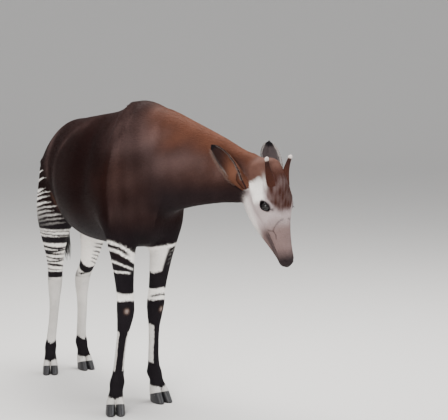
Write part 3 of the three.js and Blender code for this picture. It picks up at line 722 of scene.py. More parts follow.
def fore_marks(name, points):
    """Cream and black shares on a foreleg: two or three broad bands and thin arcs above a black knee, a
    black stripe down the front of a cream shank, a black pastern and a cream coronet."""
    z, fore, out, angle = leg_place(name, points)
    right = name == "front_right"
    wave = 2 * ripple(points, 50, 5) + 0.8 * ripple(points, 12, 6)
    if right:
        slanted, flare = z - 36 * out + wave, 8 * np.abs(out) ** 2
        wedge = within(782, 800, slanted, 2) * ramp(-0.35, 0.35, out)
        bands = [within(766, 816, slanted) * (1 - wedge)]
        for low, high, tilt, start, full in ((723, 733, 22, -0.9, -0.5), (693, 702, 6, -0.6, -0.1)):
            arc = within(low, high, z - tilt * out + wave, 1.5)
            bands.append(arc * ramp(start, full, out + 0.3 * (fore < 0)))
        bands.append(within(561 - 0.5 * flare, 594 + flare, z + 0.5 * wave, 2))
    else:
        edge = z - 12 * out + wave
        patch = within(682, 812, edge + 55 * np.maximum(out + 0.25, 0))
        patch = patch * (1 - ramp(-0.25, 0.05, out - 0.002 * (z - 740)))
        bands = [0.9 * patch, within(796, 815, edge, 3) * (1 - 0.5 * ramp(0.5, 1, out))]
        for height in (772, 752, 728, 704):
            line = within(height - 3.5, height + 3.5, z - 30 * out + 1.5 * wave, 2)
            bands.append(0.35 * line * ramp(-0.1, 0.4, out))
        arch = z + 12 * out**2 + 0.5 * wave
        dark = within(558, 566, arch, 2) * (1 - ramp(0.75, 1.0, np.abs(out))) * (fore > 0)
        bands.append(within(536, 595, z + 5 * np.abs(out) + 0.5 * wave, 2) * (1 - dark))
    inner_edge, outer_edge = (46, 42) if right else (30, 74)
    stripe = within(-inner_edge, outer_edge, angle + 2 * wave, 3)
    shank = within(198 + 14 * np.abs(out), 412 - 20 * (1 - np.abs(out)), z + wave, 4)
    notch = 12 * bell(angle, 0, 22) if right else 16 * bell(angle, 8, 26)
    bands += [shank * (1 - stripe), within(18, 86 - notch, z + 0.6 * wave, 2.5)]
    cream = np.maximum.reduce(bands)
    black = (1 - ramp(700, 880, z)) * (1 - cream)
    spot = bell(z, 513 if right else 487, 16) * bell(angle, 4 if right else 16, 20)
    return np.maximum(cream, 0.26 * spot**2), black * (1 - 0.9 * spot), 0.5 * spot


HIND_DARK_RIGHT = (
    (797, 802), (781, 788), (735, 771), (708, 723), (688, 701), (668, 679), (649, 659), (630, 641),
    (601, 614), (582, 589), (534, 569),
)
HIND_DARK_LEFT = ((712, 719), (692, 700), (668, 675), (648, 654), (628, 634), (608, 613))
HAUNCH_LINES = (1117, 1078, 1024, 1004, 981, 950, 925, 903, 880, 858, 836)


def hind_marks(name, points):
    """Cream and black shares on a hind leg: thin rising cream lines over haunch and thigh, which widen to
    the rear, cream with dark lines above the hock, a black garter, a cream shank and a black pastern."""
    z, fore, out, angle = leg_place(name, points)
    x = points[:, 0]
    right = name == "hind_right"
    wave = 4 * ripple(points, 90, 11) + 1.2 * ripple(points, 24, 12)
    rear = ramp(-330, -520, x)
    rising = z - 0.17 * (x + 380) * ramp(800, 860, z) + wave
    lines = np.zeros(len(z))
    for number, height in enumerate(HAUNCH_LINES):
        thick = (2.6 + 1.2 * (number % 3)) * (0.8 + 1.5 * rear) + 1.4 * ramp(1000, 850, z)
        limit = np.interp(height, (815, 900, 1000, 1117), (-190, -235, -275, -340))
        limit = limit + 30 * np.sin(2.4 * number)
        taper = 1 - ramp(limit - 90, limit, x)
        line = within(height - thick * taper, height + thick * taper, rising, 1.6)
        lines = np.maximum(lines, line * (taper > 0.05))
    haunch = ramp(806, 822, z) * lines
    low = z + wave * 0.7
    cream = within(533, 815, low, 3)
    if right:
        for bottom, top in HIND_DARK_RIGHT:
            shift = 5 * np.sin(1.3 * out + 0.1 * bottom) * (bottom > 580)
            thin = 0
            if 580 <= bottom <= 730:
                thin = 3.0 * ramp(0.1, -0.9, out) + ripple(points, 60, bottom)
            cream = cream * (1 - within(bottom + thin, top - thin, low + shift, 1.6))
    else:
        band = low + 30 * fore
        cream = within(480, 815, low, 3) * (1 - within(571, 608, band, 3))
        for bottom, top in HIND_DARK_LEFT:
            line = within(bottom, top, low + 14 * out, 2)
            cream = cream * (1 - line * ramp(-0.35, 0.35, out + 0.25 * fore))
        cream = cream * (1 - within(532, 545, low, 3) * bell(angle, -50, 30))
    pastern = 163 + 22 * np.abs(np.sin(np.radians(angle)))
    cream = np.maximum(cream, within(pastern, 560, z + wave, 3) * (z < 534))
    cream = np.maximum(cream, within(16, 78 - 8 * bell(angle, 0, 26), z + 0.5 * wave, 2.5))
    black = (1 - ramp(800, 1000, z)) * (1 - cream)
    return np.maximum(cream, haunch), black, np.zeros(len(z))


LIMB_NEAR, LIMB_FAR = 60, 400.0


def limb_distances(points):
    """Distance of points from each limb, one column for each, and far where a limb isn't near."""
    far = np.full((len(points), len(LIMBS)), LIMB_FAR)
    for column, body in enumerate(LIMBS):
        near = in_box(points, body, LIMB_NEAR)
        far[near, column] = beside(body, points[near])[3]
    return far


def least(distances, bodies):
    """The least over some limbs of the distances from all."""
    columns = [k for k, body in enumerate(LIMBS) if any(body is chosen for chosen in bodies)]
    return distances[:, columns].min(1)


def face_marks(points):
    """Shares on the head: a white patch from the ear's root over the eye, a dark red-brown forehead, a
    rusty crown, a pinkish nose that darkens to the lips, dark rims to the eyes and a dark line to the
    mouth, and painted shade below the mouth and in the cheek folds."""
    s, d, u = head_place(points).T
    side = np.abs(d)
    wave = 5 * ripple(points, 45, 21) + 2.5 * ripple(points, 16, 22)
    width = np.interp(s, (40, 70, 150, 190, 215, 268), (52, 76, 88, 76, 56, 18)) + wave
    forehead = ramp(-18, 14, width - side) * ramp(34, 64, u + wave) * (1 - ramp(215, 275, s + wave))
    forehead = forehead * ramp(24, 75, s + wave) * (0.93 + 0.09 * ripple(points * (1, 1, 0.45), 9, 23))
    crown = (1 - ramp(70, 104, s + wave + 0.4 * (u < 0) * u)) * ramp(-74, -44, u + wave)
    white = within(80, 176, s + wave, 16) * within(-52, 36, u + wave, 12) * ramp(46, 64, side)
    by_ear = within(58, 104, s + wave, 8) * within(-108, -58, u, 9) * ramp(35, 60, side)
    white = np.maximum(white, 0.9 * by_ear)
    white = np.maximum(white, 0.6 * bell(s, 100, 30) * bell(u, 45, 10) * ramp(44, 58, side))
    white = np.maximum(white, 0.5 * ramp(70, 110, -u) * within(100, 330, s, 30))
    spot = bell(s, 101, 17) * bell(u, -71, 7) * ramp(40, 60, side)
    from_eye = np.stack([s, side, u], 1) - np.array(EYE[1], float)
    x, y, z = from_eye @ eye_long[1], from_eye @ eye_over[1], from_eye @ eye_out[1]
    rim = 1 - ramp(22, 30, np.sqrt((x / 1.3) ** 2 + (y / 0.86) ** 2) + 0.3 * wave)
    rim = np.maximum(rim, 0.75 * bell(x, 34, 10) * bell(y, -4, 7)) * (z > -6)
    mouth = ramp(296, 330, s) * bell(u - mouth_height(s), 0, 5.0)
    lips = ramp(392, 462, s + wave)
    # painted shade: the lower jaw below the mouth line, and the cheek folds, are darkened
    shade = within(310, 470, s, 40) * bell(u - mouth_height(s), -16, 20) * 0.9
    nose = ramp(250, 330, s + wave)
    fold_shade = np.maximum.reduce([bell(from_line(s, u, ends), 0, 2.6) for ends, _ in CHEEK_FOLDS])
    fold_shade = fold_shade * (side > 12)
    shade = np.maximum(shade, 0.85 * fold_shade)
    nostril = bell(s, 462, 13) * bell(side, 30, 8) * bell(u, 26, 9)
    lips = 0.92 * lips * ramp(-30, 10, u + 40)
    black = np.maximum.reduce([rim, spot, mouth, lips, nostril, 0.8 * shade])
    return forehead, crown, np.clip(white, 0, 1), np.clip(black, 0, 1), nose


def markings(points, distances):
    """Two rows of shares for each point, worked out from its distances from the limbs: cream, black, rust
    and face grey; and tan, nose pink, red-brown and painted sheen, which is painted highlight on the coat.
    The black also holds painted shade under the belly and, on the face, below the mouth and in the cheek
    folds."""
    x, y, z = points.T

    def near(*bodies):
        return least(distances, bodies)

    head_near = near(face, jaw)
    head_share = 1 - ramp(-14, 22, head_near - near(neck) + 6 * ripple(points, 30, 31))
    head_share = head_share * (head_near < 60)
    cream, black, tan = np.zeros((3, len(points)))
    for name, body in leg_limbs.items():
        others = [other for other in leg_limbs.values() if other is not body]
        own = near(body, *toe_limbs[name])
        mine = (own < near(*others) + 0.01) & (np.sign(y) == np.sign(LEGS[name]["hoof"][1]))
        mine &= own < near(tail)
        if name.startswith("hind"):
            mine &= (x < -120) & (z < 1150)
            cream[mine], black[mine], tan[mine] = hind_marks(name, points[mine])
        else:
            mine &= (x > 150) & (z < 860)
            cream[mine], black[mine], tan[mine] = fore_marks(name, points[mine])
    cream = cream * (1 - head_share)
    black = black * (1 - head_share)
    t, _, b, _ = beside(neck, points)
    high = b / neck["rise"](t)
    on_neck = ramp(60, -70, near(neck) - near(trunk)) * (1 - head_share)
    top = ramp(0.2, 1.0, high + 0.14 * ripple(points, 90, 32))
    rust = np.clip(on_neck * (ramp(120, 520, t) * 0.22 + 0.8 * top * ramp(-40, 330, t)), 0, 1)
    under = on_neck * ramp(0.1, -0.7, b / neck["fall"](t)) * 0.75
    # painted shade: the underside of the trunk is darkened towards black, from about 800 mm up to 980 mm
    # high
    belly_shade = 0.7 * ramp(980, 840, z) * ramp(770, 800, z) * (1 - cream) * (1 - head_share)
    black = np.maximum.reduce([black, under, belly_shade])
    warm = 0.55 * bell(x, -430, 130) * ramp(1120, 1250, z) + 0.35 * ripple(points, 190, 33)
    warm = np.clip(warm + 0.3 * bell(x, 330, 90) * bell(z, 1130, 90), 0, 1)
    fold = bell(x + 0.55 * (z - 1000) + 262, 0, 16) * within(800, 1010, z, 30) * 0.12
    tan = np.maximum(tan, fold * (np.abs(y) > 90) * (x < 0))
    forehead, crown, white, face_black, nose = face_marks(points)
    rust = np.maximum(rust, 0.1 * bell(x, 470, 80) * bell(z, 1170, 90))
    rust = rust * (1 - head_share) + head_share * np.clip(0.9 * crown, 0, 1)
    red = head_share * forehead
    stalk = ramp(3, -5, near(*stalks) - near(face, neck)) * (near(*stalks) < 60)
    white, face_black = white * (1 - stalk), face_black * (1 - stalk)
    rust = rust * (1 - stalk) + 0.9 * stalk
    head_share = head_share * (1 - stalk)
    cream = np.maximum(cream, head_share * white)
    black = np.maximum(black, head_share * face_black)
    # Painted sheen: pale grey-brown painted highlights over the withers, in a band ahead of the shoulder's
    # crease on the right side only, along the front edge of the haunch, in an arc over the flank and along
    # the neck's side, broken into patches and kept off the head and the cream.
    patchy = 0.8 + 0.34 * ripple(points, 120, 34) + 0.2 * ripple(points * (1, 1, 0.3), 34, 35)
    painted_sheen = 0.45 * bell(x, 420, 120) * bell(z, 1390, 100)
    painted_sheen = painted_sheen + 0.36 * ramp(398, 428, x) * within(930, 1400, z, 60) * ramp(620, 470, x) * (y < 0)
    flank_highlight = bell(np.hypot(x - 60, z - 1130), 246, 24) * ramp(90, 20, x) * ramp(930, 1040, z)
    painted_sheen = painted_sheen + 0.7 * bell(t, 150, 110) * bell(high, 0.55, 0.3) * on_neck
    painted_sheen = painted_sheen + 0.5 * bell(x + 0.35 * (z - 1200), -330, 34) * within(1090, 1380, z, 50)
    painted_sheen = painted_sheen + 0.24 * flank_highlight + 0.85 * on_neck * bell(high, 0.2, 0.38)
    painted_sheen = np.clip(painted_sheen * patchy, 0, 1) * (1 - head_share) * (1 - cream)
    painted_sheen = painted_sheen * (1 - ramp(200, 320, np.abs(y) * (z < 820)))
    first = np.stack([cream, black, rust, head_share * (1 - 0.93 * crown)], 1)
    second = np.stack([tan, head_share * nose, np.maximum(red, warm * (1 - head_share) * 0.25), painted_sheen], 1)
    return np.clip(first, 0, 1), np.clip(second, 0, 1)


# the second colour is a pale grey-brown for the painted sheen: painted highlights on the coat
CHOCOLATE, PAINTED_SHEEN, RUST = (0.0098, 0.0038, 0.0036), (0.100, 0.062, 0.058), (0.104, 0.040, 0.024)
FACE_GREY, NOSE_PINK, CROWN_BROWN = (0.43, 0.355, 0.352), (0.205, 0.140, 0.132), (0.050, 0.019, 0.014)
TAN, CREAM, BLACK = (0.32, 0.15, 0.095), (0.92, 0.88, 0.83), (0.0115, 0.0094, 0.0112)
MIX_SHARE, MIX_UNDER, MIX_OVER, MIX_RESULT = 0, 6, 7, 2  # a colour mix's own sockets, by number


def colour_group():
    """The animal's colours in one node group: each share in turn lays its own colour over the chocolate
    ground, and a broad and a fine noise make the hair lighter and darker."""
    group = bpy.data.node_groups.new("okapi_colours", "ShaderNodeTree")
    # the second float input is the share of painted sheen, that is painted highlight
    kinds = dict(Marks="Color", Grey="Float", Tints="Color", Painted_Sheen="Float", Place="Vector")
    for name, kind in kinds.items():
        group.interface.new_socket(name, in_out="INPUT", socket_type="NodeSocket" + kind)
    group.interface.new_socket("Colour", in_out="OUTPUT", socket_type="NodeSocketColor")
    nodes, links = group.nodes, group.links
    entry, leave = nodes.new("NodeGroupInput"), nodes.new("NodeGroupOutput")
    marks, tints = nodes.new("ShaderNodeSeparateColor"), nodes.new("ShaderNodeSeparateColor")
    links.new(entry.outputs["Marks"], marks.inputs["Color"])
    links.new(entry.outputs["Tints"], tints.inputs["Color"])
    ground = nodes.new("ShaderNodeRGB")
    ground.outputs[0].default_value = (*CHOCOLATE, 1)
    colour = ground.outputs[0]
    for over, share in (
        # first the painted sheen: painted highlights in pale grey-brown
        (PAINTED_SHEEN, entry.outputs["Painted_Sheen"]),
        (RUST, marks.outputs["Blue"]),
        (FACE_GREY, entry.outputs["Grey"]),
        (NOSE_PINK, tints.outputs["Green"]),
        (CROWN_BROWN, tints.outputs["Blue"]),
        (TAN, tints.outputs["Red"]),
        (CREAM, marks.outputs["Red"]),
        (BLACK, marks.outputs["Green"]),
    ):
        mix = nodes.new("ShaderNodeMix")
        mix.data_type = "RGBA"
        mix.inputs[MIX_OVER].default_value = (*over, 1)
        links.new(share, mix.inputs[MIX_SHARE])
        links.new(colour, mix.inputs[MIX_UNDER])
        colour = mix.outputs[MIX_RESULT]
    for scale, low, high in ((9.0, 0.86, 1.14), (420.0, 0.72, 1.28)):
        noise = nodes.new("ShaderNodeTexNoise")
        noise.inputs["Scale"].default_value = scale
        noise.inputs["Detail"].default_value = 3
        links.new(entry.outputs["Place"], noise.inputs["Vector"])
        spread = nodes.new("ShaderNodeMapRange")
        spread.inputs["From Min"].default_value, spread.inputs["From Max"].default_value = 0.3, 0.7
        spread.inputs["To Min"].default_value, spread.inputs["To Max"].default_value = low, high
        links.new(noise.outputs["Fac"], spread.inputs["Value"])
        scaled = nodes.new("ShaderNodeVectorMath")
        scaled.operation = "SCALE"
        links.new(colour, scaled.inputs[0])
        links.new(spread.outputs["Result"], scaled.inputs["Scale"])
        colour = scaled.outputs[0]
    links.new(colour, leave.inputs["Colour"])
    return group


okapi_colours = colour_group()


def coat_material(name, roughness, shine, bump):
    """Hide or hair: the colour group on the markings' attributes, and a fine bump for the nap."""
    made = paint(name, CHOCOLATE, roughness, Specular_IOR_Level=shine)
    nodes, links = made.node_tree.nodes, made.node_tree.links
    shader = nodes["Principled BSDF"]
    group = nodes.new("ShaderNodeGroup")
    group.node_tree = okapi_colours
    where = nodes.new("ShaderNodeTexCoord")
    # the tints' fourth value carries the share of painted sheen, that is painted highlight
    for key, socket, fourth in (("marks", "Marks", "Grey"), ("tints", "Tints", "Painted_Sheen")):
        read = nodes.new("ShaderNodeAttribute")
        read.attribute_name = key
        links.new(read.outputs["Color"], group.inputs[socket])
        links.new(read.outputs["Alpha"], group.inputs[fourth])
    links.new(where.outputs["Object"], group.inputs["Place"])
    links.new(group.outputs["Colour"], shader.inputs["Base Color"])
    noise = nodes.new("ShaderNodeTexNoise")
    noise.inputs["Scale"].default_value = 260
    noise.inputs["Detail"].default_value = 4
    links.new(where.outputs["Object"], noise.inputs["Vector"])
    relief = nodes.new("ShaderNodeBump")
    relief.inputs["Strength"].default_value = bump
    relief.inputs["Distance"].default_value = 0.002
    links.new(noise.outputs["Fac"], relief.inputs["Height"])
    links.new(relief.outputs["Normal"], shader.inputs["Normal"])
    return made


hide_paint = coat_material("hide", roughness=0.55, shine=0.02, bump=0.5)
coat_paint = coat_material("coat", roughness=0.42, shine=0.03, bump=0.15)

# Ears: a leaf of skin rolled into a funnel, open forwards, on a short stalk of muscle. They are part of
# the hide's own mesh, their foot sunk in the stalk.
EAR_LENGTH, EAR_SUNK, EAR_WALL = 218, 30, 5.0
ear_half = curve((0, 24), (0.14, 32), (0.34, 45), (0.55, 50), (0.75, 46), (0.9, 31), (0.96, 19), (1, 7))
ear_wrap = curve((0, 150), (0.2, 118), (0.5, 78), (1, 46))


def ear_axes(ear):
    """The ear's axes: along it, across it and out of its open side."""
    along, facing = unit(np.array(ear["tip"], float)), np.array(ear["open"], float)
    out = unit(facing - along * (facing @ along))
    return along, np.cross(along, out), out


def ear_skin(ear, rows=44, arc=30, start=0.0):
    """Outer and inner face of the ear as one closed grid: arcs of a circle whose half width and opening
    change along the ear, the inner a wall's thickness inside the outer. The edge is drawn in and out a
    little."""
    along, across, out = ear_axes(ear)
    u = (start + (1 - start) * np.arange(rows) / (rows - 1)) ** 0.9
    span = np.radians(ear_wrap(u))
    radius = ear_half(u) / np.sin(np.minimum(span, np.pi / 2))
    middle = ear["root"] + (-EAR_SUNK + (EAR_LENGTH + EAR_SUNK) * u)[:, None] * along
    middle = middle + (radius * 0.75 - ear["droop"] * np.sin(np.pi * u))[:, None] * out
    turn = np.concatenate([np.linspace(-1, 1, arc), np.linspace(1, -1, arc)])
    inner = np.concatenate([np.zeros(arc), np.ones(arc)])
    edge = 1 - 0.02 * np.sin(9 * np.pi * u)[:, None] * np.abs(turn) ** 6
    angle = span[:, None] * turn * edge
    wall = EAR_WALL * (1 - 0.6 * u)[:, None] * (1 - 0.7 * np.abs(turn) ** 8)
    size = radius[:, None] - inner * wall
    fold = 1 + 0.03 * np.cos(3 * np.pi * turn) * inner
    aside, depth = size * np.sin(angle), size * fold * np.cos(angle)
    places = middle[:, None] + aside[..., None] * across - depth[..., None] * out
    return places, u, turn, inner


def strip_faces(rows, around, first=0):
    """Quads of a grid of rows, each a ring of corners."""
    ring = np.arange(around)
    here = first + (np.arange(rows - 1)[:, None] * around + ring).ravel()
    beyond = first + (np.arange(rows - 1)[:, None] * around + np.roll(ring, -1)).ravel()
    return np.stack([here, beyond, beyond + around, here + around], 1)


def ear_marks(u, turn, inner, right):
    """Rust outside with a black rim and tip, and a pale line of hair inside the rim. The right ear is lit
    with a painted glow towards its foot, most of all inside, and its inside darkens with painted shade
    towards the tip and along one side; the left ear is dark within, its own grey darkened with painted
    shade.
    """
    edge, zero = np.abs(turn), np.zeros(len(u))
    black = np.maximum(ramp(0.86, 0.95, edge), ramp(0.80, 0.94, u))
    if right:
        # painted shade: the right ear's inside darkens towards its tip and along one side
        black = np.maximum(black, 0.8 * ramp(0.42, 0.85, u - 0.25 * turn) * inner)
        # painted glow: the right ear is lighter towards its foot, most of all inside
        painted_glow = 0.6 * ramp(0.8, 0.3, u) * (0.3 + 0.7 * inner) * (1 - black)
        rust, grey = zero + 0.9, zero
    else:
        # the left ear's inside: its own grey, darkened with painted shade
        black = np.maximum(black, 0.8 * inner)
        painted_glow, rust, grey = zero, 0.9 - 0.5 * inner, 0.5 * inner
    cream = 0.35 * bell(edge, 0.8, 0.05) * inner * ramp(0.3, 0.5, u)
    first = np.stack([cream, black, rust, grey], 1)
    second = np.stack([0.6 * painted_glow, zero, 0.3 * (1 - inner), zero], 1)
    return np.clip(first, 0, 1), np.clip(second, 0, 1)


hide_marks, hide_tints = markings(hide, limb_distances(hide))
hide_faces = [hide_quads, *outlines]
skin_points, skin_marks, skin_tints = [hide], [hide_marks], [hide_tints]
for name, ear in EARS.items():
    places, u, turn, inner = ear_skin(ear)
    rows, around = places.shape[:2]
    first = sum(len(p) for p in skin_points)
    quads = strip_faces(rows, around, first)
    tip = first + (rows - 1) * around + np.arange(around)
    outside, inside = tip[: around // 2], tip[::-1][: around // 2]
    pairs = np.stack([outside[:-1], outside[1:], inside[1:], inside[:-1]], 1)
    skin_points.append(places.reshape(-1, 3))
    hide_faces += [quads, pairs]
    at = np.repeat(u, around), np.tile(turn, rows), np.tile(inner, rows)
    marks, tints = ear_marks(*at, right=ear["side"] < 0)
    skin_marks.append(marks)
    skin_tints.append(tints)

FLESH = ["torso", "neck", "head", "tail", "ear_left", "ear_right"]
for leg_name in ("front_left", "front_right", "hind_left", "hind_right"):
    FLESH += [f"leg_{leg_name}_upper", f"leg_{leg_name}_lower"]
build(
    "skin", np.concatenate(skin_points), hide_faces, hide_paint, "chocolate", *FLESH,
    attributes={"marks": np.concatenate(skin_marks), "tints": np.concatenate(skin_tints)},
)

# Coat: short hair that lies flat, from head to tail and down the legs. Each tuft is a thin tapered roof
# with a ridge, its root sunk in the skin, and takes the markings of the place where it is rooted.
GROUPS = {"trunk": [trunk], "neck": [neck], "head": [face, jaw, *stalks], "tail": [tail]}
for leg_name, body in leg_limbs.items():
    GROUPS[leg_name] = [body, *toe_limbs[leg_name]]
TRUNK, NECK, HEAD, TAIL, FIRST_LEG = range(5)  # the groups' numbers; the legs follow in their own order


def group_distances(distances):
    """Distance from each group of limbs, one column for each."""
    return np.stack([least(distances, bodies) for bodies in GROUPS.values()], 1)


BACK_LIE, RUMP_LIE, CHEST_LIE = np.array(((-1, 0, -0.22), (-0.25, 0, -1), (-0.35, 0, -1)))


def lie(points, apart):
    """Which way the hair lies: each group's own direction, weighed by e to the minus distance over 30
    mm."""
    weight = np.exp(-(apart - apart.min(1, keepdims=True)) / 30)
    rump = ramp(-380, -540, points[:, 0])[:, None]
    chest = (ramp(330, 520, points[:, 0]) * ramp(1250, 1000, points[:, 2]))[:, None]
    back = BACK_LIE * (1 - rump) * (1 - chest) + RUMP_LIE * rump + CHEST_LIE * chest
    ways = {"trunk": back, "neck": -neck_along - (0, 0, 0.3), "head": -head_along}
    total = np.zeros_like(points)
    for column, name in enumerate(GROUPS):
        total += weight[:, column : column + 1] * ways.get(name, -Z)
    return unit(total)


MAP_COLUMNS, MAP_ROWS, MAP_EDGE, MAP_SIZE = 4, 2, 0.02, 0.95


def unwrap(points, apart):
    """Each group's own unwrap on its own eighth of the map: round the limb across, and along the limb
    upwards."""
    uv = np.zeros((len(points), 2))
    nearest = apart.argmin(1)
    for number, (name, (body, *_)) in enumerate(GROUPS.items()):
        mine = nearest == number
        t, a, b, _ = beside(body, points[mine])
        start, end = body["start"] - 30, body["end"] + 40
        if name in leg_limbs:
            start, end = 20, body["end"]
        around = np.arctan2(b, a) / (2 * np.pi) + 0.5
        along = np.clip((t - start) / (end - start), 0, 1)
        column, row = number % MAP_COLUMNS, number // MAP_COLUMNS
        across, up = column + MAP_EDGE + MAP_SIZE * around, row + MAP_EDGE + MAP_SIZE * along
        uv[mine] = np.stack([across / MAP_COLUMNS, up / MAP_ROWS], 1)
    return uv


def scatter(points, normals, quads, density, draw):
    """Roots on quads: as many as area times density, rounded by a seeded draw, each at a random share
    between the corners."""
    corner = points[quads]
    one, two = corner[:, 2] - corner[:, 0], corner[:, 3] - corner[:, 1]
    area = np.linalg.norm(np.cross(one, two), axis=1) / 2
    count = np.floor(area * density + draw.random(len(quads))).astype(int)
    pick = np.repeat(np.arange(len(quads)), count)
    p, q = draw.random((2, len(pick), 1))

    def mix(values):
        a, b, c, d = (values[quads[pick, k]] for k in range(4))
        return (1 - p) * ((1 - q) * a + q * b) + p * ((1 - q) * d + q * c)

    return mix(points), unit(mix(normals)), pick


TURN_SPREAD, SWAY_SPREAD, RIDGE = 0.16, 0.10, 0.22


def tufts(roots, normals, ways, length, width, rise, draw):
    """Seven corners for each tuft: left, ridge and right at the root and at half its length, and the tip.
    It leaves the skin at a low angle, bends down again and sways a little to one side."""
    length, width, rise = (np.broadcast_to(size, len(roots))[:, None] for size in (length, width, rise))
    ways = unit(ways - normals * (ways * normals).sum(1, keepdims=True))
    ways = unit(ways + np.cross(normals, ways) * draw.normal(0, TURN_SPREAD, (len(roots), 1)))
    side = np.cross(normals, ways)
    sway = side * draw.normal(0, SWAY_SPREAD, (len(roots), 1)) * length
    made = []
    for share, lift, wide in ((0.0, -0.5, 1.0), (0.55, 0.75, 0.8)):
        line = roots + ways * (share * length) + sway * share**2 + normals * (lift * rise)
        half, ridge = side * (width * wide / 2), normals * (width * RIDGE * wide)
        made += [line - half, line + ridge, line + half]
    made.append(roots + ways * length + sway + normals * (rise * 0.9))
    return np.stack(made, 1)


TUFT_CORNERS = 7
TUFT_QUADS = np.array(((0, 1, 4, 3), (1, 2, 5, 4)))
TUFT_TIPS = np.array(((3, 4, 6), (4, 5, 6)))
TUFT_MAP = np.array(((-1, -1), (0, -1), (1, -1), (-1, 0), (0, 0), (1, 0), (0, 1))) * 0.0015


def build_coat(name, corners, uv, marks, tints, slot_name):
    """A coat piece from tufts: quads for the flanks, triangles for the tips, one small patch of the map
    and one colour for each tuft."""
    base = (np.arange(len(corners)) * TUFT_CORNERS)[:, None, None]
    faces = [(base + TUFT_QUADS).reshape(-1, 4), (base + TUFT_TIPS).reshape(-1, 3)]
    shares = {"marks": np.repeat(marks, TUFT_CORNERS, 0), "tints": np.repeat(tints, TUFT_CORNERS, 0)}
    spread = (uv[:, None] + TUFT_MAP).reshape(-1, 2)
    build(name, corners.reshape(-1, 3), faces, coat_paint, slot_name, uv=spread, attributes=shares)


draw = np.random.default_rng(7)
SHANK_TOP, CORONET_TOP, SOLE_TOP = 480, 78, 34
STRIPES_TOP, LEG_TOP = 1150, 900
middles = hide[hide_quads].mean(1)
s, d, u = head_place(middles).T
height = middles[:, 2]
limb_of = group_distances(limb_distances(middles)).argmin(1)
is_leg, is_head = limb_of >= FIRST_LEG, limb_of == HEAD
room = np.full(len(middles), 34.0)  # square millimetres of hide to a tuft
room[limb_of == NECK] = 26.0
room[(middles[:, 0] < STRIPES_AHEAD) & (height > LEG_STRIPES) & (height < STRIPES_TOP) & ~is_head] = 14.0
room[is_leg & (height < LEG_TOP)] = 12.0
room[is_leg & (height < SHANK_TOP)] = 13.0
room[is_head] = 11.0
room[is_head & (s > 300)] = 7.0
room[limb_of == TAIL] = 14.0
eye_gap = np.linalg.norm((np.stack([s, np.abs(d), u], 1) - EYE[1]) * (0.8, 1, 1), axis=1)
bare = (height < SOLE_TOP) | (is_head & (eye_gap < 27))
roots, root_normals, pick = scatter(hide, unit(slope(hide)), hide_quads, np.where(bare, 0, 1 / room), draw)
root_distances = limb_distances(roots)
apart = group_distances(root_distances)
marks, tints = markings(roots, root_distances)

where, z, head_along_at = limb_of[pick], roots[:, 2], head_place(roots)[:, 0]
is_leg, is_head, is_neck, is_tail = where >= FIRST_LEG, where == HEAD, where == NECK, where == TAIL
head_length = np.interp(head_along_at, (0, 150, 300, 460), (11, 8, 6, 3.5))
head_width = np.interp(head_along_at, (0, 460), (2.6, 1.5))
shank = is_leg & (z < SHANK_TOP)
long_hair = np.select(
    [is_head, is_leg & (z < CORONET_TOP), shank, is_leg, is_neck, is_tail],
    [head_length, 15.0, 8.5, 12.0, 17.0, 16.0], 18.0,
)
wide_hair = np.select([is_head, shank, is_leg, is_tail], [head_width, 2.6, 3.2, 2.4], 4.2)
lift_hair = np.select([is_head, shank], [0.5, 0.7], 1.0)
striped = ((roots[:, 0] < STRIPES_AHEAD) & (z < STRIPES_TOP)) | (is_leg & (z < LEG_TOP))
striped &= ~is_head & ~is_neck & (z > CORONET_TOP)
long_hair = np.where(striped, np.minimum(long_hair, 8.5), long_hair) * draw.uniform(0.75, 1.25, len(roots))
wide_hair = np.where(striped, np.minimum(wide_hair, 2.4), wide_hair) * draw.uniform(0.8, 1.2, len(roots))
corners = tufts(roots, root_normals, lie(roots, apart), long_hair, wide_hair, lift_hair, draw)
uv = unwrap(roots, apart)
coat_parts = {
    "coat_trunk_right": ((where == TRUNK) & (roots[:, 1] < 0), "chocolate"),
    "coat_trunk_left": ((where == TRUNK) & (roots[:, 1] >= 0), "chocolate"),
    "coat_neck": (is_neck, "russet"),
    "coat_head": (is_head, "face"),
    "coat_tail": (is_tail, "chocolate"),
}
for number, leg_name in enumerate(leg_limbs):
    coat_parts["coat_leg_" + leg_name] = (where == FIRST_LEG + number, "shank")
for name, (chosen, slot_name) in coat_parts.items():
    build_coat(name, corners[chosen], uv[chosen], marks[chosen], tints[chosen], slot_name)

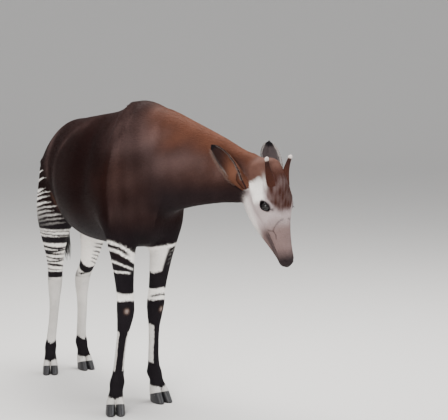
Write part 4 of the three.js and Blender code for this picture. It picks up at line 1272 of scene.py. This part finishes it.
# Hair of the ears: short over both faces, and a longer fringe along the inside of the rim that stands out
# forwards. It is rooted in the ears' own grid and is one piece with the lashes.
ear_hair = []
for number, ear in enumerate(EARS.values()):
    right = ear["side"] < 0
    along, across, out = ear_axes(ear)
    places, u, turn, inner = ear_skin(ear, rows=60, arc=36, start=0.14)
    rows, columns = places.shape[:2]
    run = np.gradient(places, axis=0)
    facing = np.cross(run, np.gradient(places, axis=1))
    facing = unit(facing * np.sign(-(facing[rows // 2, columns // 4] @ out))).reshape(-1, 3)
    flat = places.reshape(-1, 3)
    quads = strip_faces(rows, columns)
    u, turn, inside = np.repeat(u, columns), np.tile(turn, rows), np.tile(inner, rows)
    density = np.where(inside[quads[:, 0]] > 0.5, 1 / 12.0, 1 / 9.0)
    roots, normals, pick = scatter(flat, facing, quads, density, draw)
    corner = quads[pick, 0]
    size = np.where(inside[corner] > 0.5, 9.0, 8.0) * draw.uniform(0.7, 1.3, len(roots))
    hair_ways = unit(run.reshape(-1, 3)[corner]) + 0.25 * np.sign(turn[corner])[:, None] * across
    lifted = np.where(inside[corner] > 0.5, 1.4, 0.6)
    short = tufts(roots, normals, hair_ways, size, 1.9, lifted, draw)

    rim = np.flatnonzero((np.abs(turn) > 0.86) & (np.abs(turn) < 0.97) & (inside > 0.5))
    rim = rim[(u[rim] > 0.16) & (u[rim] < 0.93)]
    rim = np.repeat(rim, 5 if right else 4)
    sign = np.sign(turn[rim])[:, None]
    spots = flat[rim] + draw.normal(0, 1.6, (len(rim), 3))
    fringe_ways = 0.75 * along + (0.55 * out - 0.35 * sign * across) * draw.uniform(0.3, 1.4, (len(rim), 1))
    fringe = tufts(spots, unit(facing[rim]), fringe_ways, draw.uniform(9, 19, len(rim)), 1.3, 2.6, draw)

    corner = np.concatenate([corner, rim])
    first, second = ear_marks(u[corner], turn[corner], inside[corner], right)
    # on the right ear the lower fringe takes no black and little cream, so rust and the painted glow show
    # on it, and the upper fringe is darker
    lower = turn[rim] < 0
    first[len(short) :, 0] = np.where(lower, 0.08, 0.22) if right else 0.40
    first[len(short) :, 1] = np.where(lower, 0.0, 0.35) if right else 0.30
    ear_across = (number + 0.02 + 0.46 * inside[corner] + 0.21 * (turn[corner] + 1)) / 2
    ear_uv = np.stack([ear_across, 0.03 + 0.94 * u[corner]], 1)
    ear_hair.append((np.concatenate([short, fringe]), ear_uv, first, second))

# Lashes: a row of black hairs along the edge of each upper lid, longer over the middle of the eye. They
# stand out of the lid and join the hair of the ears in one piece.
LASHES, LASH_START, LASH_END = 44, -21, 22
for side in (1, -1):
    x = np.linspace(LASH_START, LASH_END, LASHES)
    y = lid_edge(x, UPPER_LID) + 0.6
    z = np.sqrt((EYE_RADIUS + 2.6) ** 2 - (x / LID_STRETCH) ** 2 - y * y)
    axes = np.array((eye_long[side], eye_over[side], eye_out[side])) @ head_axes
    roots = head_point(*EYE[side]) + np.stack([x, y, z], 1) @ axes
    ways = np.stack([0.2 * x / 20, np.full(LASHES, 0.25), np.full(LASHES, 0.9)], 1) @ axes
    lashes = tufts(roots, axes[1] + np.zeros((LASHES, 3)), ways, 7 + 7 * bell(x, 3, 12), 1.1, 1.0, draw)
    along_lid = (x - LASH_START) / (LASH_END - LASH_START)
    lash_uv = np.stack([np.full(LASHES, 0.986 if side > 0 else 0.486), 0.1 + 0.8 * along_lid], 1)
    black_only, untinted = np.tile((0.0, 1.0, 0.0, 0.0), (LASHES, 1)), np.zeros((LASHES, 4))
    ear_hair.append((lashes, lash_uv, black_only, untinted))

build_coat("coat_ears", *(np.concatenate(part) for part in zip(*ear_hair)), "russet")

# Eyes: a wet, near-black ball under each pair of lids, a little fuller towards its front. Its brown is
# too dark to tell from the pupil, so the ball is one material.
eye_paint = paint("eye_wet", (0.005, 0.0035, 0.0035), 0.07, Specular_IOR_Level=0.4)


def fan(tip, ring):
    """Triangles from one corner to each two neighbours of a ring."""
    return np.stack([np.full(len(ring), tip), ring, np.roll(ring, -1)], 1)


def ball_grid(around=48, down=32):
    """Unit ball: rings at angles from 0 to pi from the front pole, and a corner at each pole. The corners
    lie at (cos front, sin front cos turn, sin front sin turn)."""
    front = np.linspace(0, np.pi, down + 1)[1:-1]
    turn = np.arange(around) * 2 * np.pi / around
    across = np.outer(np.sin(front), np.cos(turn)), np.outer(np.sin(front), np.sin(turn))
    rings = np.stack([np.outer(np.cos(front), np.ones(around)), *across], -1).reshape(-1, 3)
    points = np.concatenate([rings, [(1, 0, 0), (-1, 0, 0)]])
    quads = strip_faces(down - 1, around)[:, [0, 3, 2, 1]]
    ring, last = np.arange(around), (down - 2) * around
    back_fan = fan(len(rings) + 1, last + ring)[:, [0, 2, 1]]
    return points, [quads, fan(len(rings), ring), back_fan]


for side, name in ((-1, "eye_right"), (1, "eye_left")):
    points, faces = ball_grid()
    bulge = 1 + 0.045 * np.clip((points[:, 0] - 0.72) / 0.28, 0, 1) ** 0.8
    axes = np.array((eye_out[side], eye_long[side], eye_over[side] * side)) @ head_axes
    place = head_point(*EYE[side]) + (points * bulge[:, None] * (EYE_RADIUS - 0.4)) @ axes
    build(name + "_ball", place, faces, eye_paint, "eye", name)

# Claws: two to a foot, of dark grey horn, each a slanting wedge that widens to its sole. Their tops lie
# under the hair of the coronet, on a plane that falls to the rear.
claw_paint = paint("claw_horn", (0.018, 0.017, 0.019), 0.42)
claw_apart, claw_lean = curve((0, 24.5), (60, 21.9)), curve((0, 3), (60, -15), (132, -36))
claw_half = curve((0, 22.2), (6, 23.6), (60, 21.6))
claw_rise, claw_fall = curve((0, 53.5), (6, 56), (60, 36), (75, 33)), curve((0, 46.5), (6, 50), (60, 45))
CLAW_TOP, CORONET, CORONET_RISE, CORONET_RUN = 75, 48, 0.3, 0.95


def section(body, t, angle, share):
    """Places on a limb's skin at stations t and angles: side is cos and height is sin, each to the power
    of 2 over the squareness, times the half widths and a share."""
    power = 2 / body["square"](t)
    side = np.sign(np.cos(angle)) * np.abs(np.cos(angle)) ** power * body["half"](t) * share
    height = np.where(np.sin(angle) > 0, body["rise"](t), body["fall"](t))
    up = np.sign(np.sin(angle)) * np.abs(np.sin(angle)) ** power * height * share
    side, up = body["shift"](t) + side, body["lift"](t) + up
    line = body["foot"] + t[:, None] * body["along"]
    return line + side[:, None] * body["side"] + up[:, None] * body["up"]


def claw(leg, side):
    """One claw: superellipse sections from the sole up to a plane that slopes back from the toe, closed
    by a shallow dome at the top and a flat sole."""
    body = toe_limb(leg, side, 0, CLAW_TOP, claw_apart, claw_lean, claw_half, claw_rise, claw_fall)
    around, rows = 40, 20
    angle = np.arange(around) * 2 * np.pi / around
    scale, toe = leg["scale"], np.radians(leg["toe"])
    places = []
    for row in range(rows):
        share = row / (rows - 1)
        t = np.zeros(around)
        # the top edge lies on the coronet's slope, so each point's height follows from where it stands
        for _ in range(3):
            place = section(body, t, angle, 1.0)
            ahead = (place[:, :2] - np.array(leg["hoof"][:2])) @ np.array((np.cos(toe), np.sin(toe)))
            t = share**0.8 * (CORONET * scale + ahead * CORONET_RISE / CORONET_RUN)
        places.append(section(body, t, angle, 1 - 0.03 * (row == 0)))
    points = np.concatenate(places)
    top, bottom = places[-1].mean(0) + np.array((0, 0, 1.5)), places[0].mean(0)
    points = np.concatenate([points, [bottom, top]])
    ring, last = np.arange(around), (rows - 1) * around
    under = fan(rows * around, ring)[:, [0, 2, 1]]
    return points, strip_faces(rows, around), under, fan(rows * around + 1, last + ring)


for leg_name, leg in LEGS.items():
    for side, side_name in ((1, "left"), (-1, "right")):
        points, *faces = claw(leg, side)
        name = f"claw_{leg_name}_{side_name}"
        build(name + "_horn", points, faces, claw_paint, "horn", name)

# Ossicones: two short horns in skin, leaning back from the brow, bare and pale at the tip. Their foot is
# sunk in the forehead, and they are of the hide's material.
HORN_FOOT, HORN_ROUNDED, HORN_TIP = -25, 100, 112
for side, name in ((-1, "ossicone_right"), (1, "ossicone_left")):
    root, tip = head_point(90, side * 46, 62), head_point(0, side * 76, 96)
    along = unit(tip - root)
    across = unit(np.cross(along, head_side))
    size = curve((-25, 30), (0, 22), (22, 17), (45, 13.5), (70, 10.8), (88, 9.2), (100, 9.8), (112, 9.6))
    horn = limb(
        root, along, np.cross(along, across), across, HORN_FOOT, HORN_TIP, size, size, size,
        lift=curve((0, 0), (60, 3), (112, -3)), square=lambda t: np.full(len(t), 2.0),
    )
    around, rows = 28, 34
    angle = np.arange(around) * 2 * np.pi / around
    stations = HORN_FOOT + (HORN_TIP - HORN_FOOT) * (np.arange(rows) / (rows - 1)) ** 0.9
    rounded = np.clip((stations - HORN_ROUNDED) / (HORN_TIP - HORN_ROUNDED), 0, 1)
    caps = np.sqrt(1 - rounded**2)
    rings = [section(horn, np.full(around, t), angle, cap) for t, cap in zip(stations, caps)]
    points = np.concatenate(rings)
    height, zero = np.repeat(stations, around), np.zeros(len(points))
    bare = ramp(90, 98, height + 1.5 * ripple(points, 9, 41))
    dark = 0.5 * ramp(30, 90, height) * (1 - bare)
    marks = np.stack([0.55 * bare, dark, 0.5 * (1 - bare), 0.35 * bare], 1)
    tints = np.stack([0.5 * bare, zero, (1 - bare) * 0.8, zero], 1)
    build(
        name + "_horn", points, [strip_faces(rows, around)], hide_paint, "ossicone", name,
        attributes={"marks": marks, "tints": tints},
    )

# Tail tuft: a bundle of long black locks that hang from the tail's end, each a tapered, wavy, flattened
# tube. They start at different heights on the tail, spread a little and end above the hocks.
TUFT_TOP, TUFT_END = 875, 592
LOCKS, LOCK_ROWS, LOCK_AROUND = 150, 12, 6
draw = np.random.default_rng(11)
start = TUFT_TOP - draw.uniform(0, 75, LOCKS)
length = np.minimum(draw.uniform(110, 225, LOCKS), start - TUFT_END)
turn = draw.uniform(0, 2 * np.pi, LOCKS)
spread = draw.uniform(3, 22, LOCKS)
share = np.arange(LOCK_ROWS) / (LOCK_ROWS - 1)
z = start[:, None] - length[:, None] * share
reach = 7 + spread[:, None] * np.sin(np.pi * np.minimum(share * 0.8 + 0.1, 1))
reach = reach + draw.uniform(-4, 6, (LOCKS, 1)) * share**2
wave = 2.5 * np.sin(7 * share + draw.uniform(0, 6, (LOCKS, 1)))
turned = turn[:, None] + 0.5 * share * draw.normal(0, 1, (LOCKS, 1))
line = np.stack([tail_x(z) + reach * np.cos(turned) + wave, tail_y(z) + reach * np.sin(turned), z], -1)
thick = draw.uniform(2.2, 4.2, (LOCKS, 1)) * (1 - share) ** 0.55
thick = thick * (0.55 + 0.45 * np.minimum(share * 5, 1)) + 0.25
around = np.arange(LOCK_AROUND) * 2 * np.pi / LOCK_AROUND
outwards = np.stack([np.cos(turned), np.sin(turned), np.zeros(turned.shape)], -1)
sideways = np.stack([-np.sin(turned), np.cos(turned), np.zeros(turned.shape)], -1)
rings = (
    line[:, :, None]
    + (thick[..., None] * np.cos(around))[..., None] * sideways[:, :, None] * 1.3
    + (thick[..., None] * np.sin(around))[..., None] * outwards[:, :, None] * 0.7
)
quads = strip_faces(LOCK_ROWS, LOCK_AROUND)
faces = (np.arange(LOCKS)[:, None, None] * LOCK_ROWS * LOCK_AROUND + quads).reshape(-1, 4)
ends = np.arange(LOCKS)[:, None] * LOCK_ROWS * LOCK_AROUND + np.arange(LOCK_AROUND)
caps = np.concatenate([ends[:, ::-1], ends + (LOCK_ROWS - 1) * LOCK_AROUND])
patch = np.stack([0.78 + 0.2 * turn / 6.3, 0.06 + 0.4 * (start - 790) / 100], 1)
spread_map = np.stack(np.broadcast_arrays(np.cos(around) * 0.0015, (share[:, None] - 0.5) * 0.003), -1)
lock_uv = (patch[:, None, None] + spread_map).reshape(-1, 2)
lock_paint = paint("tuft_hair", (0.012, 0.009, 0.009), 0.38, Specular_IOR_Level=0.3)
build("tail_locks", rings.reshape(-1, 3), [faces, caps], lock_paint, "tuft", "tail_tuft", uv=lock_uv)

# Camera: a long lens ahead of the right shoulder, a little above the back, as the photograph has it. Its
# place and the point it looks at were solved from the hooves and the line of the back.
camera_place = metres(np.array((6419.7, -3160.7, 1835.5)))
camera_aim = metres(np.array((100, 621, 911.0)))
camera_data = bpy.data.cameras.new("camera")
camera_data.sensor_width = 36
camera_data.lens = 114.28
camera = bpy.data.objects.new("camera", camera_data)
camera.location = camera_place
camera.rotation_euler = Vector(camera_aim - camera_place).to_track_quat("-Z", "Y").to_euler()
bpy.context.scene.collection.objects.link(camera)
bpy.context.scene.camera = camera
